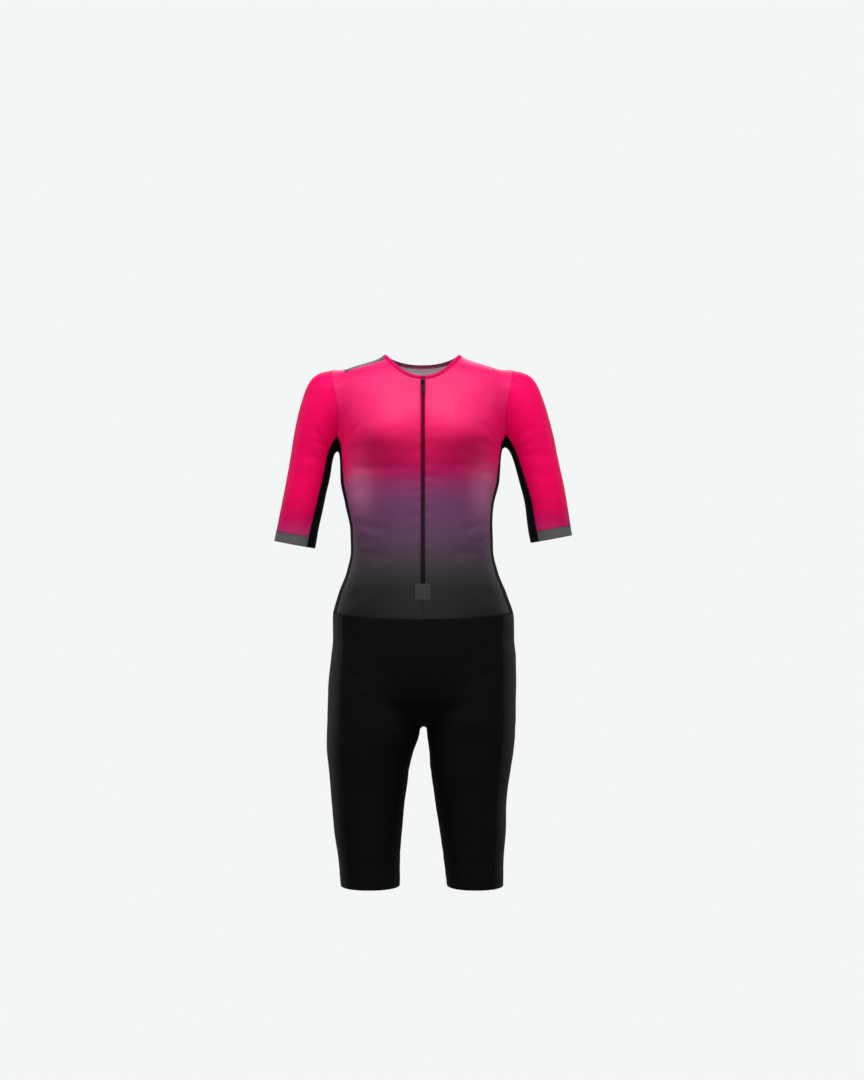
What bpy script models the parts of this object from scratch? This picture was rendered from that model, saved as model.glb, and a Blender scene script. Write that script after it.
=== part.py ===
"""Short-sleeved triathlon suit, standing hollow as it is worn.

The cloth lies on one smooth figure form. The form is a blend of five upright tubes: trunk, neck, two arms
and two legs. Every seam is a curve laid on that form, and every cut piece is a grid of points between its
seams, given a wall of cloth thickness on the inner side. Neighbouring pieces share the points of their
seam, drawn back by half of the seam gap.

Units: the tables and sizes are in millimetres, and the meshes in metres. +Z is up, the wearer faces -Y and
the wearer's left is +X. The origin is the middle of the neck opening, where the wearer's shoulders hold
the suit.
"""

import math

import bmesh
import bpy
import numpy as np
from mathutils import Matrix, Vector

MM = 0.001

# ---- Driving sizes -------------------------------------------------------------------------------------
CLOTH = 2.0  # wall of every cloth piece
SEAM_GAP = 0.3  # between the edges of neighbouring pieces
WAIST_HEIGHT = -464.0  # waist seam at the sides
WAIST_DIP = 6.0  # how much lower the waist seam lies at the centre front
HEM_HEIGHT = -948.0  # both leg hems
INSIDE = 2.0  # a guide laid on a narrow gap's wall starts this far inside it
CROTCH = (2.0, 3.0, -662.0)  # where the four shorts pieces meet
SHOULDER_LINE = 4.0  # the shoulder seam meets the neck this far behind the middle plane
NECK_BAND = 7.0  # width of the binding round the neck
CUFF = 18.0  # width of the gripper band on the sleeve
ARM_LEAN = math.radians(10.5)  # the arms hang this far out from the vertical
CUFF_HEIGHT = {1: -326.0, -1: -336.0}  # sleeve hem at the arm's axis, on the wearer's left and right
UNDERSLEEVE_BEARING = 130.0  # where the black underarm piece begins, round the arm from its outer side
SIDE_BEARING = 20.0  # front and back edges of the bodice's side piece, round the trunk
THIGH_BEARING = 32.0  # where the shorts' side seams meet the waist seam, round the trunk
THIGH_SEAM = 137.0  # distance of the shorts' front and back side seams from the middle plane
ZIP_HALF = 4.15  # half the width of the zip between the fronts
ZIP_SHIFT = 2.0  # the zip hangs this far to the wearer's left
ZIP_END = -405.0  # height of the zip's lower end
ZIP_TAPE = 1.4  # thickness of the zip's tape and coil
ZIP_SINK = 0.3  # how far the tape lies behind the face of the cloth
PATCH_SIZE = (28.0, 29.0)  # width and height of the plain patch over the zip's lower end
PATCH_CLOTH = 1.0
PATCH_TOP = -404.0
NECK_EDGE = {"half_width": 64, "front": 60, "back": 62, "height": 3, "front_drop": 46, "back_drop": 12}
NECK_CURVE = 1.15  # above 1 the neck edge drops late, close to the centre front
SHARP_EDGE = math.radians(40)

# ---- The zip's hardware: sizes across, out of the cloth and down the zip ---------------------------------
SLIDER = {"width": 7.4, "length": 10.0, "height": 2.2, "corner": 1.8, "drop": 7.5}  # drop is from the zip's top
BRIDGE = {"width": 1.8, "inner": 1.6, "outer": 3.0, "axis": 1.35, "foot": 1.0}  # axis and foot from the slider
PULL = {"width": 5.0, "length": 24.0, "thick": 1.2, "arm": 1.0, "window": 4.4, "corner": 0.6}
WINDOW_CORNER = 0.3

# ---- Number of cells along each run of seam ------------------------------------------------------------
FRONT_CELLS = 6  # centre front to side piece, and the shoulder seam
NECK_FRONT_CELLS = 5
NECK_BACK_CELLS = 10
ZIP_CELLS = 17
BELOW_ZIP_CELLS = 3
SIDE_CELLS = 17
ARMHOLE_CELLS = 8
UNDERARM_CELLS = 6
SLEEVE_CELLS = 12
CUFF_CELLS = 2
RISE_CELLS = 12  # centre front or back seam of the shorts
INSEAM_CELLS = 13
PATCH_CELLS = 4
LEG_CELLS = RISE_CELLS + INSEAM_CELLS
BACK_CELLS = 2 * FRONT_CELLS + NECK_BACK_CELLS

# ---- The figure form: level sections, from the top down --------------------------------------------------
UPRIGHT_COLUMNS = ("height", "centre_x", "half_width", "front", "back")
TRUNK = (
    (15, 0, 8, 6, 6),
    (8, 0, 42, 22, 24),
    (-2, 0, 76, 34, 40),
    (-10, 0, 103, 45, 52),
    (-18, 0, 129, 54, 62),
    (-28, 0, 153, 62, 72),
    (-45, 0, 165, 73, 83),
    (-75, 0, 161, 88, 95),
    (-110, 0, 153, 102, 101),
    (-145, -1, 147, 108, 101),
    (-180, -2.5, 144.5, 105, 97),
    (-220, -3.6, 143, 99, 90),
    (-262, -4.5, 134, 95, 82),
    (-310, -1, 128, 93, 76),
    (-345, 0, 128, 94, 76),
    (-385, 0.5, 136, 98, 82),
    (-425, 1, 151.5, 103, 92),
    (-470, 2.5, 163, 105, 103),
    (-520, 3, 163, 104, 113),
    (-570, 1, 160, 98, 117),
    (-610, 1, 150, 88, 110),
    (-630, 2, 124, 72, 92),
    (-641, 2, 90, 58, 72),
    (-648, 2, 50, 48, 58),
    (-653, 2, 20, 42, 48),
    (-656, 2, 4, 36, 44),
)
NECK = (
    (60, 0, 54, 48, 58),
    (0, 0, 57, 52, 62),
    (-60, 0, 62, 60, 68),
)
LIMB_COLUMNS = ("height", "centre_x", "centre_y", "half_width", "half_depth")
ARM_LEFT = (
    (-20, 158, 4, 5, 5),
    (-26, 162, 4, 19, 23),
    (-38, 167.5, 4, 32, 38),
    (-60, 173, 4, 39.5, 48),
    (-100, 183.5, 3, 42.5, 53),
    (-140, 193, 1, 43.5, 51),
    (-176, 203, -2, 40.5, 47),
    (-220, 213.5, -6, 39.5, 44.5),
    (-262, 222.5, -9, 38, 43),
    (-306, 228.5, -12, 38.5, 41.5),
    (-350, 237, -15, 38.5, 41),
    (-400, 247, -18, 38.5, 41),
)
ARM_RIGHT = (
    (-20, 158, 4, 5, 5),
    (-26, 162, 4, 19, 23),
    (-38, 167, 4, 31, 38),
    (-60, 171.5, 4, 39, 48),
    (-100, 180.5, 3, 42, 53),
    (-140, 190.5, 1, 40, 51),
    (-176, 199, -2, 37, 47),
    (-220, 205.5, -6, 38, 44.5),
    (-262, 213.5, -9, 38, 43),
    (-306, 222.5, -12, 37.5, 41.5),
    (-350, 231, -15, 38, 41),
    (-400, 241, -18, 38, 41),
)
LEG_LEFT = (
    (-480, 78, 6, 60, 70),
    (-540, 85, 8, 80, 90),
    (-600, 87, 8, 82, 97),
    (-650, 87.5, 6, 81.5, 95),
    (-664, 88, 5.5, 80, 93),
    (-680, 88.5, 5, 79, 90),
    (-710, 89, 4, 75.5, 86),
    (-740, 86.5, 3, 72, 82),
    (-770, 87.5, 2, 67.5, 77),
    (-800, 88, 1, 64, 73),
    (-850, 91.5, 0, 59.5, 68),
    (-900, 93, -1, 54, 64),
    (-948, 95.5, -2, 50.5, 61),
    (-1000, 97, -3, 48, 58),
)
LEG_RIGHT = (
    (-480, 78, 6, 60, 70),
    (-540, 81, 8, 78, 90),
    (-600, 86, 8, 83, 97),
    (-650, 86, 6, 84.5, 95),
    (-664, 87, 5.5, 84, 94),
    (-680, 88.5, 5, 83, 92),
    (-710, 93.5, 4, 77.5, 87),
    (-740, 95, 3, 71, 82),
    (-770, 96.5, 2, 69, 77),
    (-800, 97, 1, 65.5, 73),
    (-850, 97, 0, 61, 68),
    (-900, 95, -1, 55.5, 64),
    (-948, 93, -2, 53, 61),
    (-1000, 91, -3, 51, 58),
)
TRUNK_SQUARENESS = 2.3
LIMB_SQUARENESS = 2.15
CUP = {"across": 64, "height": -138, "width": 52, "depth": 50, "rise": 15, "fade": 80}
BLEND = {"neck": 34, "arm": 22, "legs": 8, "hip": 14}  # how widely two tubes run into each other

# ---- The armhole, round from the front corner of the side piece over the shoulder and back under the arm --
ARMHOLE_COLUMNS = ("x", "y", "height")
ARMHOLE = (
    (147, -44, -160),
    (147, -62, -104),
    (157, -46, -56),
    (164, 4, -25),
    (157, 55, -56),
    (147, 68, -104),
    (147, 44, -160),
    (153, 0, -158),
)
SHOULDER_TIP, BACK_CORNER = 3, 6  # rows of ARMHOLE where other seams meet it
ARMHOLE_CENTRE = (156, 0, -92)

# ---- Guides that the other seams run past: x, y, height, or heights alone --------------------------------
RISE_FRONT = ((2, -104, -520), (2, -98, -570), (2, -84, -610), (2, -56, -643), (2, -28, -660))
RISE_BACK = ((1, 116, -520), (1, 121, -570), (2, 108, -610), (2, 68, -643), (2, 34, -660))
RISE_CENTRE = (10, -560)  # y and height of the point that the rise seam turns round
CROTCH_ROW = RISE_CELLS / LEG_CELLS  # where the crotch lies, as a share of the way from waist to hem
SIDE_HEIGHTS = (-215, -275, -335, -400)
THIGH_HEIGHTS = (-520, -580, -640, -700, -770, -850, HEM_HEIGHT)
THIGH_GUIDE_DEPTH = 60
INSEAM_HEIGHTS = (-690, -720, -770, -840, HEM_HEIGHT)
ZIP_GUIDE_DEPTH = -103
UNDERSLEEVE_RUN = ((-195, 1.08), (-250, 1.03))  # height, and its bearing as a share of UNDERSLEEVE_BEARING
HEM_FRONT = (-145, -110, -75, -50)  # bearings round the leg
HEM_SIDE = (-15, 15)
HEM_BACK = (50, 75, 110, 145)

FACING = {1: 0.0, -1: math.pi, "front": -math.pi / 2, "back": math.pi / 2}  # bearings of the wearer's sides
RAY = 75.0  # length of a ray's pointer from an axis
CROWN_STEP = 3.0
SPLIT_DIRECTION = (0.3, 0.2, 1.0)  # upwards, but leaning so that no seam lies level to it
GATHER = 0.6  # how much the grid's columns crowd towards the seams at the crotch
GATHER_REACH = 0.12


# ---- The form -------------------------------------------------------------------------------------------
def table_curve(rows):
    """A function of height that runs smoothly through the rows of a section table, in metres."""
    table = np.array(rows, float)[::-1] * MM
    heights = table[:, 0]
    values = table[:, 1:]
    steps = np.diff(heights)[:, None]
    rises = np.diff(values, axis=0) / steps
    slopes = np.zeros_like(values)
    before = rises[:-1]
    after = rises[1:]
    turning = before * after <= 0
    total = np.where(turning, 1.0, before + after)
    slopes[1:-1] = np.where(turning, 0.0, 2 * before * after / total)
    slopes[0] = rises[0]
    slopes[-1] = rises[-1]

    def at(height):
        level = np.clip(height, heights[0], heights[-1])
        row = np.clip(np.searchsorted(heights, level) - 1, 0, len(heights) - 2)
        step = (heights[row + 1] - heights[row])[:, None]
        t = (level - heights[row])[:, None] / step
        low = values[row] * (1 + 2 * t) * (1 - t) ** 2 + slopes[row] * step * t * (1 - t) ** 2
        high = values[row + 1] * t * t * (3 - 2 * t) + slopes[row + 1] * step * t * t * (t - 1)
        past_end = np.abs(height - level)
        return (low + high).T, past_end

    return at


TRUNK_AT = table_curve(TRUNK)
NECK_AT = table_curve(NECK)
ARM_AT = {1: table_curve(ARM_LEFT), -1: table_curve(ARM_RIGHT)}
LEG_AT = {1: table_curve(LEG_LEFT), -1: table_curve(LEG_RIGHT)}


def section_field(x, y, half_width, depth, squareness):
    """How far a point is outside a level section, in metres: negative inside it."""
    share = np.abs(x / half_width) ** squareness + np.abs(y / depth) ** squareness
    return (share ** (1 / squareness) - 1) * np.minimum(half_width, depth)


def blended(one, other, width):
    """The union of two fields, with a fillet of about this width where they meet."""
    mix = np.clip(0.5 + 0.5 * (other - one) / width, 0, 1)
    return other + (one - other) * mix - width * mix * (1 - mix)


def upright_field(points, at):
    x, y, z = points.T
    (centre_x, half_width, front, back), past_end = at(z)
    depth = np.where(y < 0, front, back)
    return section_field(x - centre_x, y, half_width, depth, TRUNK_SQUARENESS) + past_end


def limb_field(points, at, side):
    x, y, z = points.T
    (centre_x, centre_y, half_width, half_depth), past_end = at(z)
    field = section_field(x * side - centre_x, y - centre_y, half_width, half_depth, LIMB_SQUARENESS)
    return field + past_end


def cup_rise(points):
    """How far the two bust cups push the front of the trunk out."""
    x, y, z = points.T
    across = (np.abs(x) - CUP["across"] * MM) / (CUP["width"] * MM)
    up = (z - CUP["height"] * MM) / (CUP["depth"] * MM)
    forward = np.clip(-y / (CUP["fade"] * MM), 0, 1)
    return CUP["rise"] * MM * np.exp(-(across**2) - up**2) * forward


def form(points):
    """The field of the whole figure form: zero on it, negative inside."""
    body = upright_field(points, TRUNK_AT) - cup_rise(points)
    body = blended(body, upright_field(points, NECK_AT), BLEND["neck"] * MM)
    for side in (1, -1):
        body = blended(body, limb_field(points, ARM_AT[side], side), BLEND["arm"] * MM)
    legs = blended(
        limb_field(points, LEG_AT[1], 1), limb_field(points, LEG_AT[-1], -1), BLEND["legs"] * MM
    )
    return blended(body, legs, BLEND["hip"] * MM)


def slope_of_form(points):
    reach = 0.4 * MM
    slope = np.empty_like(points)
    for axis in range(3):
        step = np.zeros(3)
        step[axis] = reach
        slope[:, axis] = (form(points + step) - form(points - step)) / (2 * reach)
    return slope


def outward(points):
    """Unit normals of the form at these points."""
    slope = slope_of_form(points)
    return slope / np.linalg.norm(slope, axis=1)[:, None]


def lay(points):
    """Moves the points straight onto the form."""
    laid = np.array(points, float).reshape(-1, 3)
    longest_step = 12 * MM
    for _ in range(24):
        slope = slope_of_form(laid)
        steepness = np.maximum((slope**2).sum(axis=1), 0.05)
        move = -form(laid)[:, None] * slope / steepness[:, None]
        length = np.linalg.norm(move, axis=1)[:, None]
        laid += move * np.minimum(1, longest_step / np.maximum(length, 1e-12))
    return laid


def cast(points, centres):
    """Moves the points along the rays from the centres inside the form, to where the rays come out of it."""
    rays = points - centres
    reach = np.linspace(0.2, 2.4, 120)  # shares of the pointer's length that are tried
    fields = np.stack([form(centres + rays * r) for r in reach])
    first = np.argmax(fields > 0, axis=0)
    near = reach[first - 1]
    far = reach[first]
    for _ in range(30):
        middle = (near + far) / 2
        out = form(centres + rays * middle[:, None]) > 0
        near = np.where(out, near, middle)
        far = np.where(out, middle, far)
    return centres + rays * near[:, None]


def to_crown(points, centres):
    """Moves points of a seam in a narrow arch sideways to the arch's crown, where it faces no side."""
    crown = points.copy()
    middle = centres.copy()
    for _ in range(16):
        sideways = outward(crown)[:, 0] * CROWN_STEP * MM
        crown[:, 0] += sideways
        middle[:, 0] += sideways
        crown = cast(crown, middle)
    return crown


# ---- Seams ----------------------------------------------------------------------------------------------
def smooth_through(knots, closed=False):
    """A dense curve through the knots, and the place of each knot on it."""
    per_span = 24
    if closed:
        ring = np.vstack([knots[-1:], knots, knots[:2]])
    else:
        ring = np.vstack([2 * knots[0] - knots[1], knots, 2 * knots[-1] - knots[-2]])
    t = np.linspace(0, 1, per_span, endpoint=False)[:, None]
    spans = []
    for p0, p1, p2, p3 in zip(ring, ring[1:], ring[2:], ring[3:]):
        spans.append(
            0.5
            * (
                2 * p1
                + (p2 - p0) * t
                + (2 * p0 - 5 * p1 + 4 * p2 - p3) * t**2
                + (3 * p1 - p0 - 3 * p2 + p3) * t**3
            )
        )
    curve = np.vstack([*spans, knots[:1] if closed else knots[-1:]])
    return curve, per_span


def spaced(curve, cells):
    """The curve as cells + 1 points at equal distances along it."""
    run = np.concatenate([[0], np.cumsum(np.linalg.norm(np.diff(curve, axis=0), axis=1))])
    stations = np.linspace(0, run[-1], cells + 1)
    return np.stack([np.interp(stations, run, curve[:, k]) for k in range(3)], axis=1)


def seam(guides, cells):
    """A smooth seam through guide points in millimetres, laid on the form."""
    knots = lay(np.array(guides, float) * MM)
    curve, _ = smooth_through(knots)
    return lay(spaced(lay(curve), cells))


def joined(*runs):
    """Runs of seam end to end, with each shared point once."""
    return np.vstack([runs[0], *[run[1:] for run in runs[1:]]])


def on_trunk(height, bearing):
    """A guide point on the trunk: bearing 0 is the wearer's left, -90 the front and 90 the back."""
    (_, half_width, front, back), _ = TRUNK_AT(np.array([height * MM]))
    angle = math.radians(bearing)
    depth = front if bearing < 0 else back
    return (half_width[0] * math.cos(angle) / MM, depth[0] * math.sin(angle) / MM, height)


def on_limb(at, side, height, bearing):
    """A guide point on a limb: bearing 0 is its outer side, -90 the front, 90 the back and 180 the inner side."""
    (centre_x, centre_y, half_width, half_depth), _ = at(np.array([height * MM]))
    angle = math.radians(bearing)
    x = side * (centre_x[0] + half_width[0] * math.cos(angle))
    return (x / MM, (centre_y[0] + half_depth[0] * math.sin(angle)) / MM, height)


def mirrored(guides, side):
    return [(x * side, y, z) for x, y, z in guides]


def waist_height(bearing):
    """The waist seam dips at the centre front."""
    front = max(0.0, -math.sin(math.radians(bearing)))
    return WAIST_HEIGHT - WAIST_DIP * front**2


def waist_run(first, last, side, cells):
    """Part of the waist seam, from one bearing round the trunk to another."""
    bearings = np.linspace(first, last, 7)
    return seam(mirrored([on_trunk(waist_height(b), b) for b in bearings], side), cells)


def waist_seams(side):
    """The waist seam of one half, split where the bodice's and the shorts' side seams meet it."""
    return {
        "front": waist_run(-90, -THIGH_BEARING, side, FRONT_CELLS - 1),
        "front_step": waist_run(-THIGH_BEARING, -SIDE_BEARING, side, 1),
        "side": waist_run(-SIDE_BEARING, SIDE_BEARING, side, UNDERARM_CELLS),
        "back_step": waist_run(SIDE_BEARING, THIGH_BEARING, side, 1),
        "back": waist_run(THIGH_BEARING, 90, side, BACK_CELLS // 2 - 1),
    }


def neck_height(angle):
    """The neck edge drops from its sides to the centre front, and a little to the centre back."""
    swing = 1 - abs(math.cos(angle))
    if math.sin(angle) < 0:
        return NECK_EDGE["height"] - NECK_EDGE["front_drop"] * swing**NECK_CURVE
    return NECK_EDGE["height"] - NECK_EDGE["back_drop"] * swing


def neck_ring():
    """The neck's upper edge, all round from the centre front by the wearer's left."""
    guides = []
    for step in range(24):
        angle = -math.pi / 2 + step * math.pi / 12
        depth = NECK_EDGE["front"] if math.sin(angle) < 0 else NECK_EDGE["back"]
        across = ZIP_SHIFT * max(0.0, -math.sin(angle)) + NECK_EDGE["half_width"] * math.cos(angle)
        guides.append((across, depth * math.sin(angle), neck_height(angle)))
    curve, _ = smooth_through(lay(np.array(guides) * MM), closed=True)
    return lay(curve)


def below(curve, distance):
    """A closed neck curve moved down the form by a distance."""
    along = np.gradient(curve, axis=0)
    along[0] = along[-1] = curve[1] - curve[-2]
    down = np.cross(along, outward(curve))
    down /= np.linalg.norm(down, axis=1)[:, None]
    return lay(curve - down * distance * MM if down[:, 2].mean() > 0 else curve + down * distance * MM)


def neck_seams(curve):
    """A closed neck curve as the front runs of both sides and the back run."""
    zip_side = {side: (ZIP_SHIFT + side * ZIP_HALF) * MM for side in (1, -1)}
    left_start = int(np.argmax(curve[:, 0] > zip_side[1]))
    right_start = len(curve) - int(np.argmax(curve[::-1, 0] < zip_side[-1]))
    behind = curve[:, 1] > SHOULDER_LINE * MM
    left_end = int(np.argmax(behind))
    right_end = len(curve) - 1 - int(np.argmax(behind[::-1]))
    left = curve[left_start : left_end + 1]
    right = curve[right_end:right_start][::-1]
    left[0, 0] = zip_side[1]
    right[0, 0] = zip_side[-1]
    return {
        1: spaced(left, NECK_FRONT_CELLS),
        -1: spaced(right, NECK_FRONT_CELLS),
        "back": spaced(curve[left_end : right_end + 1], NECK_BACK_CELLS),
    }


def armhole_seams(side):
    """The armhole as its front, back and underarm runs."""
    centre = np.array([(ARMHOLE_CENTRE[0] * side, *ARMHOLE_CENTRE[1:])], float) * MM
    knots = cast(np.array(mirrored(ARMHOLE, side), float) * MM, centre)
    knots[[0, -2, -1]] = to_crown(knots[[0, -2, -1]], np.repeat(centre, 3, axis=0))
    curve, per_span = smooth_through(knots, closed=True)
    curve = cast(curve, centre)
    tip = SHOULDER_TIP * per_span
    back = BACK_CORNER * per_span
    under = spaced(curve[back:], UNDERARM_CELLS)
    under = to_crown(under, np.repeat(centre, len(under), axis=0))[::-1]
    front_run = cast(spaced(curve[: tip + 1], ARMHOLE_CELLS), centre)
    back_run = cast(spaced(curve[tip : back + 1], ARMHOLE_CELLS), centre)
    front_run[0] = under[0]
    back_run[-1] = under[-1]
    return {"front": front_run, "back": back_run, "under": under}


def sleeve_ring(side, up, bearings, cells):
    """A run round the arm, square to its axis and a distance up from the sleeve hem."""
    height = CUFF_HEIGHT[side] + up * math.cos(ARM_LEAN)
    (centre_x, centre_y, half_width, half_depth), _ = ARM_AT[side](np.array([height * MM]))
    guides = []
    for bearing in np.linspace(*bearings, 9):
        angle = math.radians(bearing)
        out = half_width[0] / MM * math.cos(angle) * math.cos(ARM_LEAN)
        guides.append(
            (
                side * (centre_x[0] / MM + out * math.cos(ARM_LEAN)),
                (centre_y[0] + half_depth[0] * math.sin(angle)) / MM,
                height + out * math.sin(ARM_LEAN),
            )
        )
    return seam(guides, cells)


def sleeve_seams(side, armhole):
    """The seams of one sleeve below its armhole."""
    cuff_front = sleeve_ring(side, CUFF, (-UNDERSLEEVE_BEARING, UNDERSLEEVE_BEARING), 2 * ARMHOLE_CELLS)
    hem_out = sleeve_ring(side, 0, (-UNDERSLEEVE_BEARING, UNDERSLEEVE_BEARING), 2 * ARMHOLE_CELLS)
    hem_in = sleeve_ring(side, 0, (-UNDERSLEEVE_BEARING, UNDERSLEEVE_BEARING - 360), UNDERARM_CELLS)

    def run(corner, bearing, end):
        guides = [tuple(corner / MM)]
        guides += [on_limb(ARM_AT[side], side, height, bearing * share) for height, share in UNDERSLEEVE_RUN]
        guides.append(tuple(end / MM))
        return seam(guides, SLEEVE_CELLS)

    return {
        "front": run(armhole["front"][0], -UNDERSLEEVE_BEARING, cuff_front[0]),
        "back": run(armhole["back"][-1], UNDERSLEEVE_BEARING, cuff_front[-1]),
        "front_cuff": lay(spaced(np.array([cuff_front[0], hem_out[0]]), CUFF_CELLS)),
        "back_cuff": lay(spaced(np.array([cuff_front[-1], hem_out[-1]]), CUFF_CELLS)),
        "cuff": cuff_front,
        "hem_out": hem_out,
        "hem_in": hem_in,
    }


def centre_front(side, neck_point, waist_point):
    """The front's inner edge: along the zip, then along the short seam below it."""
    zip_guides = [tuple(neck_point / MM)]
    for height in np.linspace(neck_point[2] / MM, ZIP_END, 9)[1:]:
        zip_guides.append((ZIP_SHIFT + side * ZIP_HALF, ZIP_GUIDE_DEPTH, height))
    zip_run = seam(zip_guides, ZIP_CELLS)
    heights = np.linspace(ZIP_END, waist_point[2] / MM, BELOW_ZIP_CELLS + 1)
    below_zip = lay(np.array([(ZIP_SHIFT, ZIP_GUIDE_DEPTH, height) for height in heights]) * MM)
    below_zip[0] = zip_run[-1]
    below_zip[-1] = waist_point
    return zip_run, below_zip


def side_run(side, face, corner, waist_point):
    """The edge of the bodice's side piece, from the armhole's corner to the waist."""
    guides = [tuple(corner / MM)]
    guides += mirrored([on_trunk(height, face * SIDE_BEARING) for height in SIDE_HEIGHTS], side)
    guides.append(tuple(waist_point / MM))
    return seam(guides, SIDE_CELLS)


def rise_run(guides, waist_point):
    """The centre front or centre back seam of the shorts, from the waist to the crotch."""

    def turned(points):
        centres = points.copy()
        centres[:, 1:] = np.array(RISE_CENTRE) * MM
        return cast(points, centres)

    knots = turned(np.array([tuple(waist_point / MM), *guides, CROTCH]) * MM)
    curve, _ = smooth_through(knots)
    run = turned(spaced(turned(curve), RISE_CELLS))
    run[0] = waist_point
    return run


def inseam_run(side, crotch):
    """The inner leg seam. Its guides lie just inside the leg, so that they are laid on this leg."""
    guides = [tuple(crotch / MM)]
    for height in INSEAM_HEIGHTS:
        x, y, _ = on_limb(LEG_AT[side], side, height, 180)
        guides.append((x + side * INSIDE, y, height))
    knots = lay(np.array(guides) * MM)
    knots[0] = crotch
    curve, _ = smooth_through(knots)
    run = spaced(curve, INSEAM_CELLS)
    run[1:, 0] += side * INSIDE * MM
    run[1:] = lay(run[1:])
    run[-1, 2] = HEM_HEIGHT * MM
    return run


def thigh_run(side, face, waist_point):
    """The front or back side seam of the shorts."""
    guides = [tuple(waist_point / MM)]
    guides += [(side * THIGH_SEAM, face * THIGH_GUIDE_DEPTH, height) for height in THIGH_HEIGHTS]
    run = seam(guides, LEG_CELLS)
    run[-1, 2] = HEM_HEIGHT * MM
    return run


def hem_run(side, start, end, through, cells):
    """A level run of the leg hem between two seams, passing through bearings round the leg."""
    guides = [tuple(start / MM)]
    guides += [on_limb(LEG_AT[side], side, HEM_HEIGHT, bearing) for bearing in through]
    guides.append(tuple(end / MM))
    run = seam(guides, cells)
    run[:, 2] = HEM_HEIGHT * MM
    run[0] = start
    run[-1] = end
    return run


# ---- Cloth ----------------------------------------------------------------------------------------------
def coons(low, high, start, end):
    """A grid of points between four runs of seam. Low and high run across, start and end run from low to high."""
    u = np.linspace(0, 1, len(low))[None, :, None]
    v = np.linspace(0, 1, len(start))[:, None, None]
    across = low[None] * (1 - v) + high[None] * v
    along = start[:, None] * (1 - u) + end[:, None] * u
    corners = (low[0] * (1 - u) + low[-1] * u) * (1 - v) + (high[0] * (1 - u) + high[-1] * u) * v
    return across + along - corners


def panel_grid(low, high, start, end):
    """The four runs as they are, with the points between them laid on the form."""
    grid = coons(low, high, start, end)
    inner = grid[1:-1, 1:-1]
    grid[1:-1, 1:-1] = lay(inner.reshape(-1, 3)).reshape(inner.shape)
    return grid


def turned_grid(low, high, start, end, axis, facing, crowd_row=None):
    """The four runs as they are, with the points between them on level rays from an axis inside the form.

    A point's place between the seams is worked out in bearing and height round the axis, so a piece that
    faces a narrow gap stays on its own wall of it. Facing is the bearing that the piece looks to. Near the
    crowd row, a share of the way along the piece, the columns crowd towards both of the piece's sides.
    """

    def bearing_and_height(run):
        centres = axis(run[:, 2])
        bearing = np.arctan2(run[:, 1] - centres[:, 1], run[:, 0] - centres[:, 0]) - facing
        return np.stack([np.mod(bearing + math.pi, 2 * math.pi) - math.pi, run[:, 2]], axis=1)

    places = coons(*[bearing_and_height(run) for run in (low, high, start, end)])
    if crowd_row is not None:
        along = np.linspace(0, 1, len(start))[:, None]
        across = np.linspace(0, 1, len(low))[None]
        crowd = GATHER * np.exp(-(((along - crowd_row) / GATHER_REACH) ** 2))
        width = places[:, -1:, 0] - places[:, :1, 0]
        places[..., 0] -= crowd * np.sin(2 * math.pi * across) / (2 * math.pi) * width
    bearing, height = places[1:-1, 1:-1].reshape(-1, 2).T
    centres = axis(height)
    ray = np.stack([np.cos(bearing + facing), np.sin(bearing + facing), np.zeros_like(bearing)], axis=1)
    grid = coons(low, high, start, end)
    grid[1:-1, 1:-1] = cast(centres + ray * RAY * MM, centres).reshape(grid[1:-1, 1:-1].shape)
    return grid


def axis_of(at, side=1):
    """The points on the axis of a tube, at these heights."""

    def axis(height):
        centre_x = at(height)[0][0] * side
        centre_y = at(height)[0][1] if at is not TRUNK_AT else np.zeros_like(height)
        return np.stack([centre_x, centre_y, height], axis=1)

    return axis


def drawn_back(grid, normals):
    """The grid with its outer rows and columns drawn back by half of the seam gap, square to seam and normal."""
    moved = grid.copy()
    for turned, facing, target in (
        (grid, normals, moved),
        (grid.swapaxes(0, 1), normals.swapaxes(0, 1), moved.swapaxes(0, 1)),
    ):
        for edge, inner in ((0, 1), (-1, -2)):
            away = np.cross(np.gradient(turned[edge], axis=0), facing[edge])
            away /= np.linalg.norm(away, axis=1)[:, None]
            side = np.sign((away * (turned[inner] - turned[edge])).sum(axis=1))
            target[edge] += away * side[:, None] * SEAM_GAP / 2 * MM
    return moved


def add_object(name, mesh, material):
    thing = bpy.data.objects.new(name, mesh)
    bpy.context.scene.collection.objects.link(thing)
    mesh.materials.append(material)
    mesh.shade_smooth()
    mesh.set_sharp_from_angle(angle=SHARP_EDGE)
    return thing


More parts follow.
